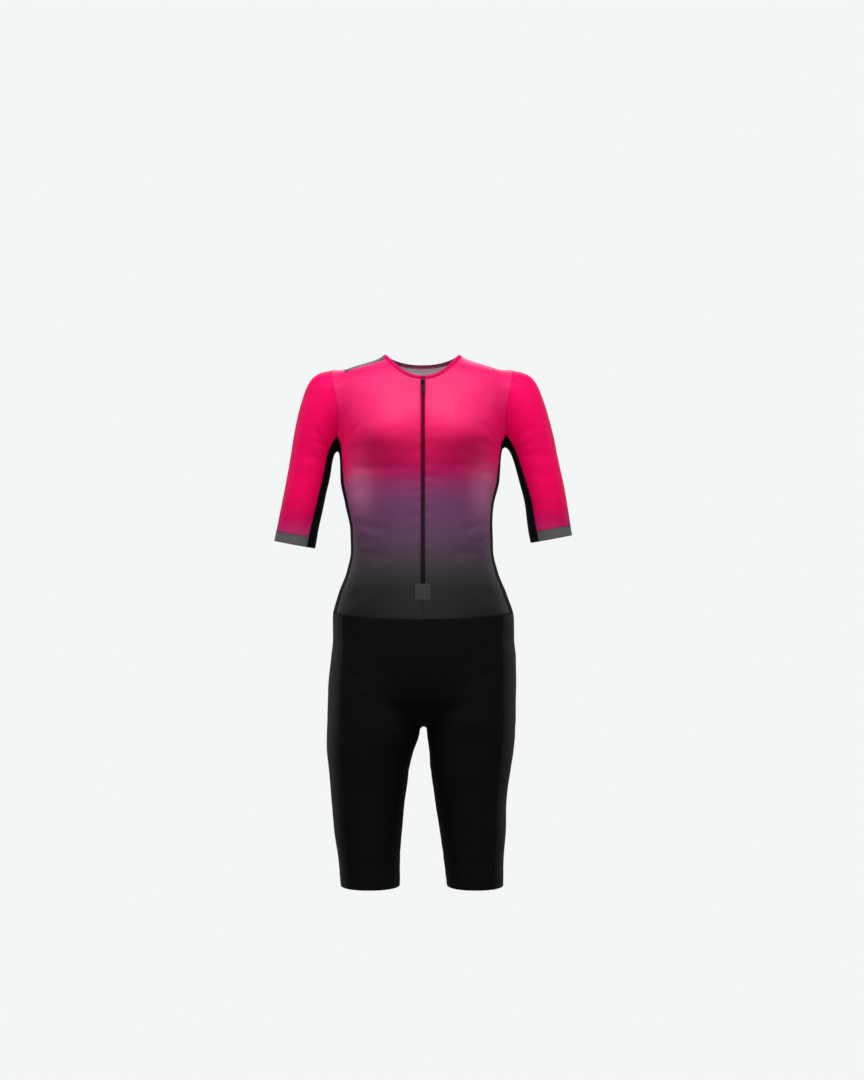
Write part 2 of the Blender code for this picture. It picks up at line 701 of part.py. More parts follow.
def wall_mesh(name, outer, inner):
    """A closed wall between two grids of the same size, with its faces pointing out.

    The strips along its edges are split from their higher outer corner, so that the facing strips of two
    neighbours twist alike.
    """
    lift = outer @ np.array(SPLIT_DIRECTION)
    rows, columns = outer.shape[:2]
    work = bmesh.new()
    faces = [[[work.verts.new(p) for p in row] for row in grid] for grid in (outer, inner)]
    for row in range(rows - 1):
        for column in range(columns - 1):
            for grid, turn in zip(faces, (1, -1)):
                corners = [
                    grid[row][column],
                    grid[row][column + 1],
                    grid[row + 1][column + 1],
                    grid[row + 1][column],
                ]
                work.faces.new(corners[::turn])
    rim = [(0, c) for c in range(columns - 1)] + [(r, columns - 1) for r in range(rows - 1)]
    rim += [(rows - 1, c) for c in range(columns - 1, 0, -1)] + [(r, 0) for r in range(rows - 1, 0, -1)]
    for here, there in zip(rim, rim[1:] + rim[:1]):
        outer_here, inner_here = (side[here[0]][here[1]] for side in faces)
        outer_there, inner_there = (side[there[0]][there[1]] for side in faces)
        if lift[here] > lift[there]:
            work.faces.new((outer_there, outer_here, inner_there))
            work.faces.new((outer_here, inner_here, inner_there))
        else:
            work.faces.new((outer_there, outer_here, inner_here))
            work.faces.new((outer_there, inner_here, inner_there))
    bmesh.ops.recalc_face_normals(work, faces=work.faces[:])
    mesh = bpy.data.meshes.new(name)
    work.to_mesh(mesh)
    work.free()
    return mesh


def cloth(name, grid, material, thickness=CLOTH, out=0.0):
    """A piece of cloth: its face lies a distance out from the form, and its wall goes inwards."""
    normals = outward(grid.reshape(-1, 3)).reshape(grid.shape)
    face = drawn_back(grid, normals) + normals * out * MM
    back = face - normals * thickness * MM
    return add_object(name, wall_mesh(name, face, back), material)


def material(name, colour, roughness, metallic=0.0):
    made = bpy.data.materials.new(name)
    made.use_nodes = True
    shader = made.node_tree.nodes["Principled BSDF"]
    shader.inputs["Base Color"].default_value = (*colour, 1.0)
    shader.inputs["Roughness"].default_value = roughness
    shader.inputs["Metallic"].default_value = metallic
    return made


# ---- The zip's hardware ---------------------------------------------------------------------------------


def zip_frame(strip):
    """The frame of the slider: on the face of the zip, below its upper end."""
    top = strip[0].mean(axis=0)
    low = strip[1].mean(axis=0)
    down = Vector(low - top).normalized()
    across = Vector((1, 0, 0))
    out = down.cross(across).normalized()
    if out.y > 0:
        out = -out
    origin = Vector(top) + down * SLIDER["drop"] * MM
    turn = Matrix((across, out, down)).transposed().to_4x4()
    return Matrix.Translation(origin) @ turn


def swept(name, corners, move):
    """A closed solid: a flat outline of corners, carried along a straight move."""
    work = bmesh.new()
    face = work.faces.new([work.verts.new(corner) for corner in corners])
    made = bmesh.ops.extrude_face_region(work, geom=[face])
    carried = [item for item in made["geom"] if isinstance(item, bmesh.types.BMVert)]
    bmesh.ops.translate(work, verts=carried, vec=move)
    bmesh.ops.recalc_face_normals(work, faces=work.faces[:])
    mesh = bpy.data.meshes.new(name)
    work.to_mesh(mesh)
    work.free()
    return mesh


def plate(name, outline, low, high):
    """A plate between two distances out of the cloth, with an outline of (across, down) points."""
    return swept(name, [(across, low, down) for across, down in outline], (0, high - low, 0))


def rounded_outline(half_width, top, bottom, radius, steps=4):
    """A rectangle with round corners."""
    points = []
    for centre_a, centre_b, start in (
        (half_width - radius, bottom - radius, 0),
        (radius - half_width, bottom - radius, 90),
        (radius - half_width, top + radius, 180),
        (half_width - radius, top + radius, 270),
    ):
        for step in range(steps + 1):
            angle = math.radians(start + 90 * step / steps)
            points.append((centre_a + radius * math.cos(angle), centre_b + radius * math.sin(angle)))
    return points


def bridge_mesh(name, base):
    """The slider's arch: half a ring on two short legs that stand in the slider's body."""
    axis = base + BRIDGE["axis"]
    foot = base - BRIDGE["foot"]
    turns = [math.radians(20 * step) for step in range(10)]
    outer = [(axis + BRIDGE["outer"] * math.sin(t), BRIDGE["outer"] * math.cos(t)) for t in turns]
    inner = [(axis + BRIDGE["inner"] * math.sin(t), BRIDGE["inner"] * math.cos(t)) for t in turns]
    outline = [(foot, BRIDGE["outer"]), *outer, (foot, -BRIDGE["outer"])]
    outline += [(foot, -BRIDGE["inner"]), *inner[::-1], (foot, BRIDGE["inner"])]
    half = BRIDGE["width"] / 2
    return swept(name, [(-half, out, down) for out, down in outline], (2 * half, 0, 0))


def placed(mesh, frame):
    mesh.transform(Matrix.Scale(MM, 4))
    mesh.transform(frame)


def boolean(thing, other, operation):
    """Joins or cuts thing with other, which stays in the file as a hidden helper."""
    modifier = thing.modifiers.new(operation.title(), "BOOLEAN")
    modifier.operation = operation
    modifier.object = other
    other.hide_render = True
    other.display_type = "WIRE"


def add_slider(frame, metal):
    """The slider's body with the bridge that carries the pull."""
    low = SEAM_GAP
    high = low + SLIDER["height"]
    half_length = SLIDER["length"] / 2
    outline = rounded_outline(SLIDER["width"] / 2, -half_length, half_length, SLIDER["corner"])
    body = plate("zip_slider", outline, low, high)
    placed(body, frame)
    slider = add_object("zip_slider", body, metal)
    arch = bridge_mesh("bridge", high)
    placed(arch, frame)
    boolean(slider, add_object("bridge", arch, metal), "UNION")


def pull_axis(frame):
    """The middle of the pull's hinge."""
    return frame @ Vector((0, (SEAM_GAP + SLIDER["height"] + BRIDGE["axis"]) * MM, 0))


def add_pull(frame, metal):
    """The pull: a plate whose upper bar passes through the bridge, with its origin on the hinge's axis."""
    half_thick = PULL["thick"] / 2
    bar = half_thick
    outline = rounded_outline(PULL["width"] / 2, -bar, PULL["length"] - bar, PULL["corner"])
    window_half = PULL["width"] / 2 - PULL["arm"]
    window = rounded_outline(window_half, bar, bar + PULL["window"], WINDOW_CORNER, steps=2)
    turn = frame.to_3x3().to_4x4()
    tab = plate("zip_pull", outline, -half_thick, half_thick)
    placed(tab, turn)
    pull = add_object("zip_pull", tab, metal)
    cutter = plate("pull_window", window, -2 * half_thick, 2 * half_thick)
    placed(cutter, turn)
    hole = add_object("pull_window", cutter, metal)
    pull.location = hole.location = pull_axis(frame)
    boolean(pull, hole, "DIFFERENCE")


# ---- The garment ----------------------------------------------------------------------------------------
def add_bodice(fabrics, waist, armholes, neck):
    """Fronts, back and side pieces, from the neck to the waist seam. Returns the zip's two edges."""
    shoulders = {}
    back_edges = {}
    zip_edges = {}
    for side, word in ((1, "left"), (-1, "right")):
        arm = armholes[side]
        front_waist = joined(waist[side]["front"], waist[side]["front_step"])
        neck_point = neck[side][-1]
        tip = arm["front"][-1]
        middle = (neck_point + tip) / 2
        shoulders[side] = seam([p / MM for p in (neck_point, middle, tip)], FRONT_CELLS)
        zip_run, below_zip = centre_front(side, neck[side][0], front_waist[0])
        zip_edges[side] = zip_run
        inner = joined(below_zip[::-1], zip_run[::-1], neck[side])
        side_front = side_run(side, -1, arm["front"][0], front_waist[-1])
        outer = joined(side_front[::-1], arm["front"])
        cloth("front_" + word, panel_grid(front_waist, shoulders[side], inner, outer), fabrics["print"])
        side_back = side_run(side, 1, arm["back"][-1], waist[side]["side"][-1])
        runs = (waist[side]["side"], arm["under"], side_front[::-1], side_back[::-1])
        side_grid = turned_grid(*runs, axis_of(TRUNK_AT), FACING[side])
        cloth("side_" + word, side_grid, fabrics["side"])
        back_edges[side] = joined(side_back[::-1], arm["back"][::-1])
    low = joined(
        waist[-1]["back_step"], waist[-1]["back"], waist[1]["back"][::-1], waist[1]["back_step"][::-1]
    )
    high = joined(shoulders[-1][::-1], neck["back"][::-1], shoulders[1])
    cloth("back", panel_grid(low, high, back_edges[-1], back_edges[1]), fabrics["print"])
    return zip_edges


def add_sleeve(fabrics, side, word, arm):
    """Upper sleeve, gripper band and black underarm piece."""
    seams = sleeve_seams(side, arm)
    head = joined(arm["front"], arm["back"])
    upper = panel_grid(seams["cuff"], head, seams["front"][::-1], seams["back"][::-1])
    cloth("sleeve_" + word, upper, fabrics["print"])
    band_ends = (seams["front_cuff"][::-1], seams["back_cuff"][::-1])
    cloth("cuff_" + word, panel_grid(seams["hem_out"], seams["cuff"], *band_ends), fabrics["gripper"])
    under_front = joined(seams["front"], seams["front_cuff"])[::-1]
    under_back = joined(seams["back"], seams["back_cuff"])[::-1]
    under_runs = (seams["hem_in"], arm["under"], under_front, under_back)
    under = turned_grid(*under_runs, axis_of(ARM_AT[side], side), FACING[-side])
    cloth("undersleeve_" + word, under, fabrics["side"])


def add_neckband(fabrics, edge, neck):
    """The binding between the neck's seam and its upper edge, open at the zip."""
    for side, word in ((1, "left"), (-1, "right")):
        ends = [spaced(np.array([neck[side][k], edge[side][k]]), 1) for k in (0, -1)]
        cloth("neckband_" + word, panel_grid(neck[side], edge[side], *ends), fabrics["print"])
    ends = [spaced(np.array([neck["back"][k], edge["back"][k]]), 1) for k in (0, -1)]
    cloth("neckband_back", panel_grid(neck["back"], edge["back"], *ends), fabrics["binding"])


def add_shorts(fabrics, side, word, waist):
    """Front, back and side pieces of one leg, from the waist seam to the hem."""
    rise_front = rise_run(RISE_FRONT, waist["front"][0])
    rise_back = rise_run(RISE_BACK, waist["back"][-1])
    inseam = inseam_run(side, rise_front[-1])
    thigh_front = thigh_run(side, -1, waist["front"][-1])
    thigh_back = thigh_run(side, 1, waist["back"][0])
    hem_front = hem_run(side, inseam[-1], thigh_front[-1], HEM_FRONT, FRONT_CELLS - 1)
    hem_side = hem_run(side, thigh_front[-1], thigh_back[-1], HEM_SIDE, UNDERARM_CELLS + 2)
    hem_back = hem_run(side, thigh_back[-1], inseam[-1], HEM_BACK, BACK_CELLS // 2 - 1)
    axis = axis_of(LEG_AT[side], side)
    front_runs = (waist["front"], hem_front, joined(rise_front, inseam), thigh_front)
    front = turned_grid(*front_runs, axis, FACING["front"], CROTCH_ROW)
    cloth("shorts_front_" + word, front, fabrics["shorts"])
    side_waist = joined(waist["front_step"], waist["side"], waist["back_step"])
    cloth("shorts_side_" + word, panel_grid(side_waist, hem_side, thigh_front, thigh_back), fabrics["thigh"])
    back_runs = (waist["back"], hem_back, thigh_back, joined(rise_back, inseam))
    back = turned_grid(*back_runs, axis, FACING["back"], CROTCH_ROW)
    cloth("shorts_back_" + word, back, fabrics["shorts"])


def add_zip(fabrics, zip_edges, edge):
    """The zip's tape and coil, its slider and its pull."""
    left = np.vstack([edge[1][:1], zip_edges[1]])
    right = np.vstack([edge[-1][:1], zip_edges[-1]])
    strip = np.stack([right, left], axis=1)
    cloth("zip_strip", strip, fabrics["zip"], thickness=ZIP_TAPE, out=-ZIP_SINK)
    sunk = strip - np.array(outward(strip.reshape(-1, 3)).reshape(strip.shape)) * ZIP_SINK * MM
    frame = zip_frame(sunk[1:])
    add_slider(frame, fabrics["metal"])
    add_pull(frame, fabrics["metal"])


def add_patch(fabrics):
    """The plain patch over the zip's lower end, just off the cloth."""
    width, height = PATCH_SIZE
    across = np.linspace(-width / 2, width / 2, PATCH_CELLS + 1)
    down = np.linspace(PATCH_TOP, PATCH_TOP - height, PATCH_CELLS + 1)
    guides = [((ZIP_SHIFT + x) * MM, ZIP_GUIDE_DEPTH * MM, z * MM) for z in down for x in across]
    grid = lay(guides).reshape(len(down), len(across), 3)
    cloth("zip_patch", grid, fabrics["patch"], thickness=PATCH_CLOTH, out=SEAM_GAP + PATCH_CLOTH)


def main():
    for thing in list(bpy.data.objects):
        bpy.data.objects.remove(thing)
    fabrics = {
        "print": material("printed_jersey", (0.86, 0.02, 0.16), 0.55),
        "side": material("black_jersey", (0.008, 0.008, 0.009), 0.6),
        "gripper": material("grey_gripper", (0.09, 0.09, 0.095), 0.7),
        "binding": material("dark_binding", (0.03, 0.015, 0.025), 0.7),
        "shorts": material("shorts_jersey", (0.006, 0.006, 0.006), 0.5),
        "thigh": material("thigh_jersey", (0.012, 0.013, 0.013), 0.4),
        "zip": material("zip_tape", (0.012, 0.01, 0.012), 0.6),
        "metal": material("zip_lacquer", (0.02, 0.02, 0.022), 0.35, 0.8),
        "patch": material("grey_patch", (0.06, 0.06, 0.062), 0.6),
    }
    edge_curve = neck_ring()
    edge = neck_seams(edge_curve)
    neck = neck_seams(below(edge_curve, NECK_BAND))
    waist = {side: waist_seams(side) for side in (1, -1)}
    armholes = {side: armhole_seams(side) for side in (1, -1)}
    zip_edges = add_bodice(fabrics, waist, armholes, neck)
    for side, word in ((1, "left"), (-1, "right")):
        add_sleeve(fabrics, side, word, armholes[side])
        add_shorts(fabrics, side, word, waist[side])
    add_neckband(fabrics, edge, neck)
    add_zip(fabrics, zip_edges, edge)
    add_patch(fabrics)


main()
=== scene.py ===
"""Looks of a short-sleeved triathlon suit: fine knitted cloth, seams and their threads, the zip and a studio.

The cloth lies on the same figure form as the solids: one smooth blend of the trunk, the neck, two arms and
two legs. Every seam is a curve on that form, and every cut piece is a fine grid of points between its
seams. Creases, seam grooves and hem bands then move the points along the form's normals, and each piece
gets a thin wall and a reverse of its own.

Tables and guides are in millimetres, meshes in metres. +Z is up, the wearer faces -Y, and the wearer's left
is +X. The origin is the middle of the neck opening.
"""

import math

import bmesh
import bpy
import numpy as np
from bpy.props import FloatProperty, FloatVectorProperty, PointerProperty
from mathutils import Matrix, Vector


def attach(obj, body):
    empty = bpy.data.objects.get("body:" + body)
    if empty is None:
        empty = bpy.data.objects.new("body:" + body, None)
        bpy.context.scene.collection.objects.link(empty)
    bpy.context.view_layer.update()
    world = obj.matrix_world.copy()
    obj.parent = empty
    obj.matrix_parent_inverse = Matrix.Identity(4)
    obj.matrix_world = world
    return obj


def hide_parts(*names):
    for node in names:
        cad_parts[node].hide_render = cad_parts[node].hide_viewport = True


bl_info = {
    "name": "Triathlon Suit Looks",
    "version": (1, 0, 0),
    "blender": (4, 5, 0),
    "location": "View3D > Sidebar > Suit",
    "description": "Dresses the solids of a short-sleeved triathlon suit in knitted cloth, threads and a zip",
    "category": "Object",
}

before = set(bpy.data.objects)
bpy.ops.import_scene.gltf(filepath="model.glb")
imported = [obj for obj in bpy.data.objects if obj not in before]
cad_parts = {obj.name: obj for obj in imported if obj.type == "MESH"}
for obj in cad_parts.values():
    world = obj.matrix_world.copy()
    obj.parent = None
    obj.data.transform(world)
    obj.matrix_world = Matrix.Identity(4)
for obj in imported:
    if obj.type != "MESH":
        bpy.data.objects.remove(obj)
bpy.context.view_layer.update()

MM = 0.001
FINE = 5  # cells of the fine cloth along one cell of the solids

# ---- Sizes that the seams are laid by --------------------------------------------------------------------
WAIST_HEIGHT = -458.0  # waist seam at the sides
WAIST_DIP = 9.0
HEM_HEIGHT = -948.0
HEM_BAND = 24.0  # doubled cloth above the leg hem
INSIDE = 2.0
CROTCH = (2.0, 3.0, -662.0)
SHOULDER_LINE = 4.0
NECK_BAND = 7.0
CUFF = 18.0
ARM_LEAN = math.radians(10.5)
CUFF_HEIGHT = {1: -326.0, -1: -336.0}
UNDERSLEEVE_BEARING = 130.0
SIDE_BEARING = 20.0
THIGH_BEARING = 32.0
THIGH_SEAM = 137.0
ZIP_HALF = 4.15
ZIP_SHIFT = 2.0
ZIP_END = -405.0
PATCH_SIZE = (28.0, 29.0)
PATCH_TOP = -404.0
NECK_EDGE = {"half_width": 64, "front": 60, "back": 62, "height": 3, "front_drop": 46, "back_drop": 12}
NECK_ROUND = {"front": 2.2, "back": 3.0}  # higher is flatter in the middle and steeper at the shoulders

# ---- Fine cells along each run of seam -------------------------------------------------------------------
FRONT_CELLS = 6 * FINE
STEP_CELLS = FINE  # between the bodice's and the shorts' side seams, on the waist
NECK_FRONT_CELLS = 5 * FINE
NECK_BACK_CELLS = 10 * FINE
ZIP_CELLS = 17 * FINE
BELOW_ZIP_CELLS = 3 * FINE
SIDE_CELLS = 17 * FINE
ARMHOLE_CELLS = 8 * FINE
UNDERARM_CELLS = 6 * FINE
SLEEVE_CELLS = 12 * FINE
CUFF_CELLS = 2 * FINE
BAND_CELLS = 6
RISE_CELLS = 12 * FINE
INSEAM_CELLS = 13 * FINE
PATCH_CELLS = 20
LEG_CELLS = RISE_CELLS + INSEAM_CELLS
BACK_CELLS = 2 * FRONT_CELLS + NECK_BACK_CELLS
PER_SPAN = 24  # points of a dense curve from one guide to the next
WAIST_GUIDES = 7  # of each part of the waist seam
RUN_GUIDES = 9  # along the zip and round the sleeve
NECK_GUIDES = 24  # all round

# ---- The figure form: level sections, from the top down --------------------------------------------------
# trunk and neck: height, centre x, half width, depth in front, depth behind
TRUNK = (
    (15, 0, 8, 6, 6),
    (8, 0, 42, 22, 24),
    (-2, 0, 76, 34, 40),
    (-10, 0, 103, 45, 52),
    (-18, 0, 129, 54, 62),
    (-28, 0, 153, 62, 72),
    (-45, 0, 165, 73, 83),
    (-75, 0, 161, 88, 95),
    (-110, 0, 153, 102, 101),
    (-145, -1, 147, 108, 101),
    (-180, -2.5, 144.5, 105, 97),
    (-220, -3.6, 143, 99, 90),
    (-262, -4.5, 134, 95, 82),
    (-310, -1, 128, 93, 76),
    (-345, 0, 128, 94, 76),
    (-385, 0.5, 136, 98, 82),
    (-425, 1, 151.5, 103, 92),
    (-470, 2.5, 163, 105, 103),
    (-520, 3, 163, 104, 113),
    (-570, 1, 160, 98, 117),
    (-610, 1, 150, 88, 110),
    (-630, 2, 124, 72, 92),
    (-641, 2, 90, 58, 72),
    (-648, 2, 50, 48, 58),
    (-653, 2, 20, 42, 48),
    (-656, 2, 4, 36, 44),
)
NECK = (
    (60, 0, 54, 48, 58),
    (0, 0, 57, 52, 62),
    (-60, 0, 62, 60, 68),
)
# limbs: height, centre x, centre y, half width, half depth
ARM_LEFT = (
    (-20, 158, 4, 5, 5),
    (-26, 162, 4, 19, 23),
    (-38, 167.5, 4, 32, 38),
    (-60, 173, 4, 39.5, 48),
    (-100, 183.5, 3, 42.5, 53),
    (-140, 193, 1, 43.5, 51),
    (-176, 203, -2, 40.5, 47),
    (-220, 213.5, -6, 39.5, 44.5),
    (-262, 222.5, -9, 38, 43),
    (-306, 228.5, -12, 38.5, 41.5),
    (-350, 237, -15, 38.5, 41),
    (-400, 247, -18, 38.5, 41),
)
ARM_RIGHT = (
    (-20, 158, 4, 5, 5),
    (-26, 162, 4, 19, 23),
    (-38, 167, 4, 31, 38),
    (-60, 171.5, 4, 39, 48),
    (-100, 180.5, 3, 42, 53),
    (-140, 190.5, 1, 40, 51),
    (-176, 199, -2, 37, 47),
    (-220, 205.5, -6, 38, 44.5),
    (-262, 213.5, -9, 38, 43),
    (-306, 222.5, -12, 37.5, 41.5),
    (-350, 231, -15, 38, 41),
    (-400, 241, -18, 38, 41),
)
LEG_LEFT = (
    (-480, 78, 6, 60, 70),
    (-540, 85, 8, 80, 90),
    (-600, 87, 8, 82, 97),
    (-650, 87.5, 6, 81.5, 95),
    (-664, 88, 5.5, 80, 93),
    (-680, 88.5, 5, 79, 90),
    (-710, 89, 4, 75.5, 86),
    (-740, 87.5, 3, 72.2, 82),
    (-770, 87.5, 2, 67.5, 77),
    (-800, 88, 1, 64, 73),
    (-850, 91.5, 0, 59.5, 68),
    (-900, 93, -1, 54, 64),
    (-948, 95.5, -2, 50.5, 61),
    (-1000, 97, -3, 48, 58),
)
LEG_RIGHT = (
    (-480, 78, 6, 60, 70),
    (-540, 81, 8, 78, 90),
    (-600, 86, 8, 83, 97),
    (-650, 86, 6, 84.5, 95),
    (-664, 87, 5.5, 84, 94),
    (-680, 88.5, 5, 83, 92),
    (-710, 93.5, 4, 77.5, 87),
    (-740, 95.5, 3, 72.2, 82),
    (-770, 96, 2, 69, 77),
    (-800, 97, 1, 65.5, 73),
    (-850, 97, 0, 61, 68),
    (-900, 95, -1, 55.5, 64),
    (-948, 93, -2, 53, 61),
    (-1000, 91, -3, 51, 58),
)
TRUNK_SQUARENESS = 2.3
LIMB_SQUARENESS = 2.15
CUP = {"across": 64, "height": -138, "width": 52, "depth": 50, "rise": 15, "fade": 80}
TIP = {"across": 163, "height": -20, "width": 14, "depth": 30, "drop": 8}  # the shoulder's tip, made flatter
BLEND = {"neck": 34, "arm": 22, "legs": 8, "hip": 14}  # how widely two tubes run into each other

# ---- The armhole (x, y, height), from the side piece's front corner over the shoulder and under the arm --
ARMHOLE = (
    (147, -44, -160),
    (147, -62, -104),
    (157, -46, -56),
    (164, 4, -25),
    (157, 55, -56),
    (147, 68, -104),
    (147, 44, -160),
    (153, 0, -158),
)
SHOULDER_TIP, BACK_CORNER = 3, 6  # rows of ARMHOLE where other seams meet it
ARMHOLE_CENTRE = (156, 0, -92)

# ---- Guides that the other seams run past: x, y, height, or heights alone --------------------------------
RISE_FRONT = ((2, -104, -520), (2, -98, -570), (2, -84, -610), (2, -56, -643), (2, -28, -660))
RISE_BACK = ((1, 116, -520), (1, 121, -570), (2, 108, -610), (2, 68, -643), (2, 34, -660))
RISE_CENTRE = (10, -560)  # y and height of the point that the rise seam turns round
CROTCH_ROW = RISE_CELLS / LEG_CELLS  # where the crotch lies, as a share of the way from waist to hem
SIDE_HEIGHTS = (-215, -275, -335, -400)
THIGH_HEIGHTS = (-520, -580, -640, -700, -770, -850, HEM_HEIGHT)
THIGH_GUIDE_DEPTH = 60
INSEAM_HEIGHTS = (-690, -720, -770, -840, HEM_HEIGHT)
ZIP_GUIDE_DEPTH = -103
UNDERSLEEVE_RUN = ((-195, 1.08), (-250, 1.03))  # height, and its bearing as a share of UNDERSLEEVE_BEARING
HEM_FRONT = (-145, -110, -75, -50)  # bearings round the leg
HEM_SIDE = (-15, 15)
HEM_BACK = (50, 75, 110, 145)

FACING = {1: 0.0, -1: math.pi, "front": -math.pi / 2, "back": math.pi / 2}  # bearings of the wearer's sides
RAY = 75.0  # length of a ray's pointer from an axis
CROWN_STEP = 3.0
CLOSE_ENOUGH = 1e-8  # metres between a laid point and the form
TINY = 1e-12  # keeps a division from failing
SLOPE_REACH = 0.4  # from a point to the places that its slope is measured at
LONGEST_STEP = 12.0  # of a point on its way to the form
LEAST_STEEPNESS = 0.05  # keeps points near the middle of a tube from being thrown far away
ROUNDS = {"lay": 24, "level": 16, "crown": 16, "halve": 30}  # how often each search is repeated
RAY_SHARES = (0.2, 2.4, 120)  # first and last share of a ray's pointer that is tried, and their number
GATHER = 0.6  # how much the grid's columns crowd towards the seams at the crotch
GATHER_REACH = 0.12


# ---- The form -------------------------------------------------------------------------------------------
def table_curve(rows):
    """A function of height that runs smoothly through the rows of a section table, in metres."""
    table = np.array(rows, float)[::-1] * MM
    heights = table[:, 0]
    values = table[:, 1:]
    steps = np.diff(heights)[:, None]
    rises = np.diff(values, axis=0) / steps
    slopes = np.zeros_like(values)
    before = rises[:-1]
    after = rises[1:]
    turning = before * after <= 0
    total = np.where(turning, 1.0, before + after)
    slopes[1:-1] = np.where(turning, 0.0, 2 * before * after / total)
    slopes[0] = rises[0]
    slopes[-1] = rises[-1]

    def at(height):
        level = np.clip(height, heights[0], heights[-1])
        row = np.clip(np.searchsorted(heights, level) - 1, 0, len(heights) - 2)
        step = (heights[row + 1] - heights[row])[:, None]
        t = (level - heights[row])[:, None] / step
        low = values[row] * (1 + 2 * t) * (1 - t) ** 2 + slopes[row] * step * t * (1 - t) ** 2
        high = values[row + 1] * t * t * (3 - 2 * t) + slopes[row + 1] * step * t * t * (t - 1)
        past_end = np.abs(height - level)
        return (low + high).T, past_end

    return at


TRUNK_AT = table_curve(TRUNK)
NECK_AT = table_curve(NECK)
ARM_AT = {1: table_curve(ARM_LEFT), -1: table_curve(ARM_RIGHT)}
LEG_AT = {1: table_curve(LEG_LEFT), -1: table_curve(LEG_RIGHT)}


def section_field(x, y, half_width, depth, squareness):
    """How far a point is outside a level section, in metres: negative inside it."""
    share = np.abs(x / half_width) ** squareness + np.abs(y / depth) ** squareness
    return (share ** (1 / squareness) - 1) * np.minimum(half_width, depth)


def blended(one, other, width):
    """The union of two fields, with a fillet of about this width where they meet."""
    mix = np.clip(0.5 + 0.5 * (other - one) / width, 0, 1)
    return other + (one - other) * mix - width * mix * (1 - mix)


def upright_field(points, at):
    x, y, z = points.T
    (centre_x, half_width, front, back), past_end = at(z)
    depth = np.where(y < 0, front, back)
    return section_field(x - centre_x, y, half_width, depth, TRUNK_SQUARENESS) + past_end


def limb_field(points, at, side):
    x, y, z = points.T
    (centre_x, centre_y, half_width, half_depth), past_end = at(z)
    field = section_field(x * side - centre_x, y - centre_y, half_width, half_depth, LIMB_SQUARENESS)
    return field + past_end


def cup_rise(points):
    """How far the two bust cups push the front of the trunk out."""
    x, y, z = points.T
    across = (np.abs(x) - CUP["across"] * MM) / (CUP["width"] * MM)
    up = (z - CUP["height"] * MM) / (CUP["depth"] * MM)
    forward = np.clip(-y / (CUP["fade"] * MM), 0, 1)
    return CUP["rise"] * MM * np.exp(-(across**2) - up**2) * forward


def tip_drop(points):
    """How far the form is lowered where the arm meets the top of the shoulder."""
    x, _, z = points.T
    across = (np.abs(x) - TIP["across"] * MM) / (TIP["width"] * MM)
    up = (z - TIP["height"] * MM) / (TIP["depth"] * MM)
    return TIP["drop"] * MM * np.exp(-(across**2) - up**2)


def form(points):
    """The field of the whole figure form: zero on it, negative inside."""
    body = upright_field(points, TRUNK_AT) - cup_rise(points)
    body = blended(body, upright_field(points, NECK_AT), BLEND["neck"] * MM)
    for side in (1, -1):
        body = blended(body, limb_field(points, ARM_AT[side], side), BLEND["arm"] * MM)
    legs = blended(
        limb_field(points, LEG_AT[1], 1), limb_field(points, LEG_AT[-1], -1), BLEND["legs"] * MM
    )
    return blended(body, legs, BLEND["hip"] * MM) + tip_drop(points)


def slope_of_form(points):
    reach = SLOPE_REACH * MM
    slope = np.empty_like(points)
    for axis in range(3):
        step = np.zeros(3)
        step[axis] = reach
        slope[:, axis] = (form(points + step) - form(points - step)) / (2 * reach)
    return slope


def outward(points):
    """Unit normals of the form at these points."""
    slope = slope_of_form(points)
    return slope / np.linalg.norm(slope, axis=1)[:, None]


def lay(points):
    """Moves the points straight onto the form."""
    laid = np.array(points, float).reshape(-1, 3)
    for _ in range(ROUNDS["lay"]):
        slope = slope_of_form(laid)
        steepness = np.maximum((slope**2).sum(axis=1), LEAST_STEEPNESS)
        move = -form(laid)[:, None] * slope / steepness[:, None]
        length = np.linalg.norm(move, axis=1)[:, None]
        laid += move * np.minimum(1, LONGEST_STEP * MM / np.maximum(length, TINY))
        if length.max() < CLOSE_ENOUGH:
            break
    return laid


def straight_back(run, across):
    """Brings the inner points of a front seam to one place across the body, and onto the form along Y."""
    inner = run[1:-1].copy()
    inner[:, 0] = across * MM
    for _ in range(ROUNDS["level"]):
        inner[:, 1] -= form(inner) / slope_of_form(inner)[:, 1]
    return np.concatenate([run[:1], inner, run[-1:]])


def cast(points, centres):
    """Moves the points along the rays from the centres inside the form, to where the rays come out of it."""
    rays = points - centres
    reach = np.linspace(*RAY_SHARES)
    fields = np.stack([form(centres + rays * r) for r in reach])
    first = np.argmax(fields > 0, axis=0)
    near = reach[first - 1]
    far = reach[first]
    for _ in range(ROUNDS["halve"]):
        middle = (near + far) / 2
        out = form(centres + rays * middle[:, None]) > 0
        near = np.where(out, near, middle)
        far = np.where(out, middle, far)
    return centres + rays * near[:, None]


def to_crown(points, centres):
    """Moves points of a seam in a narrow arch sideways to the arch's crown, where it faces no side."""
    crown = points.copy()
    middle = centres.copy()
    for _ in range(ROUNDS["crown"]):
        sideways = outward(crown)[:, 0] * CROWN_STEP * MM
        crown[:, 0] += sideways
        middle[:, 0] += sideways
        crown = cast(crown, middle)
    return crown


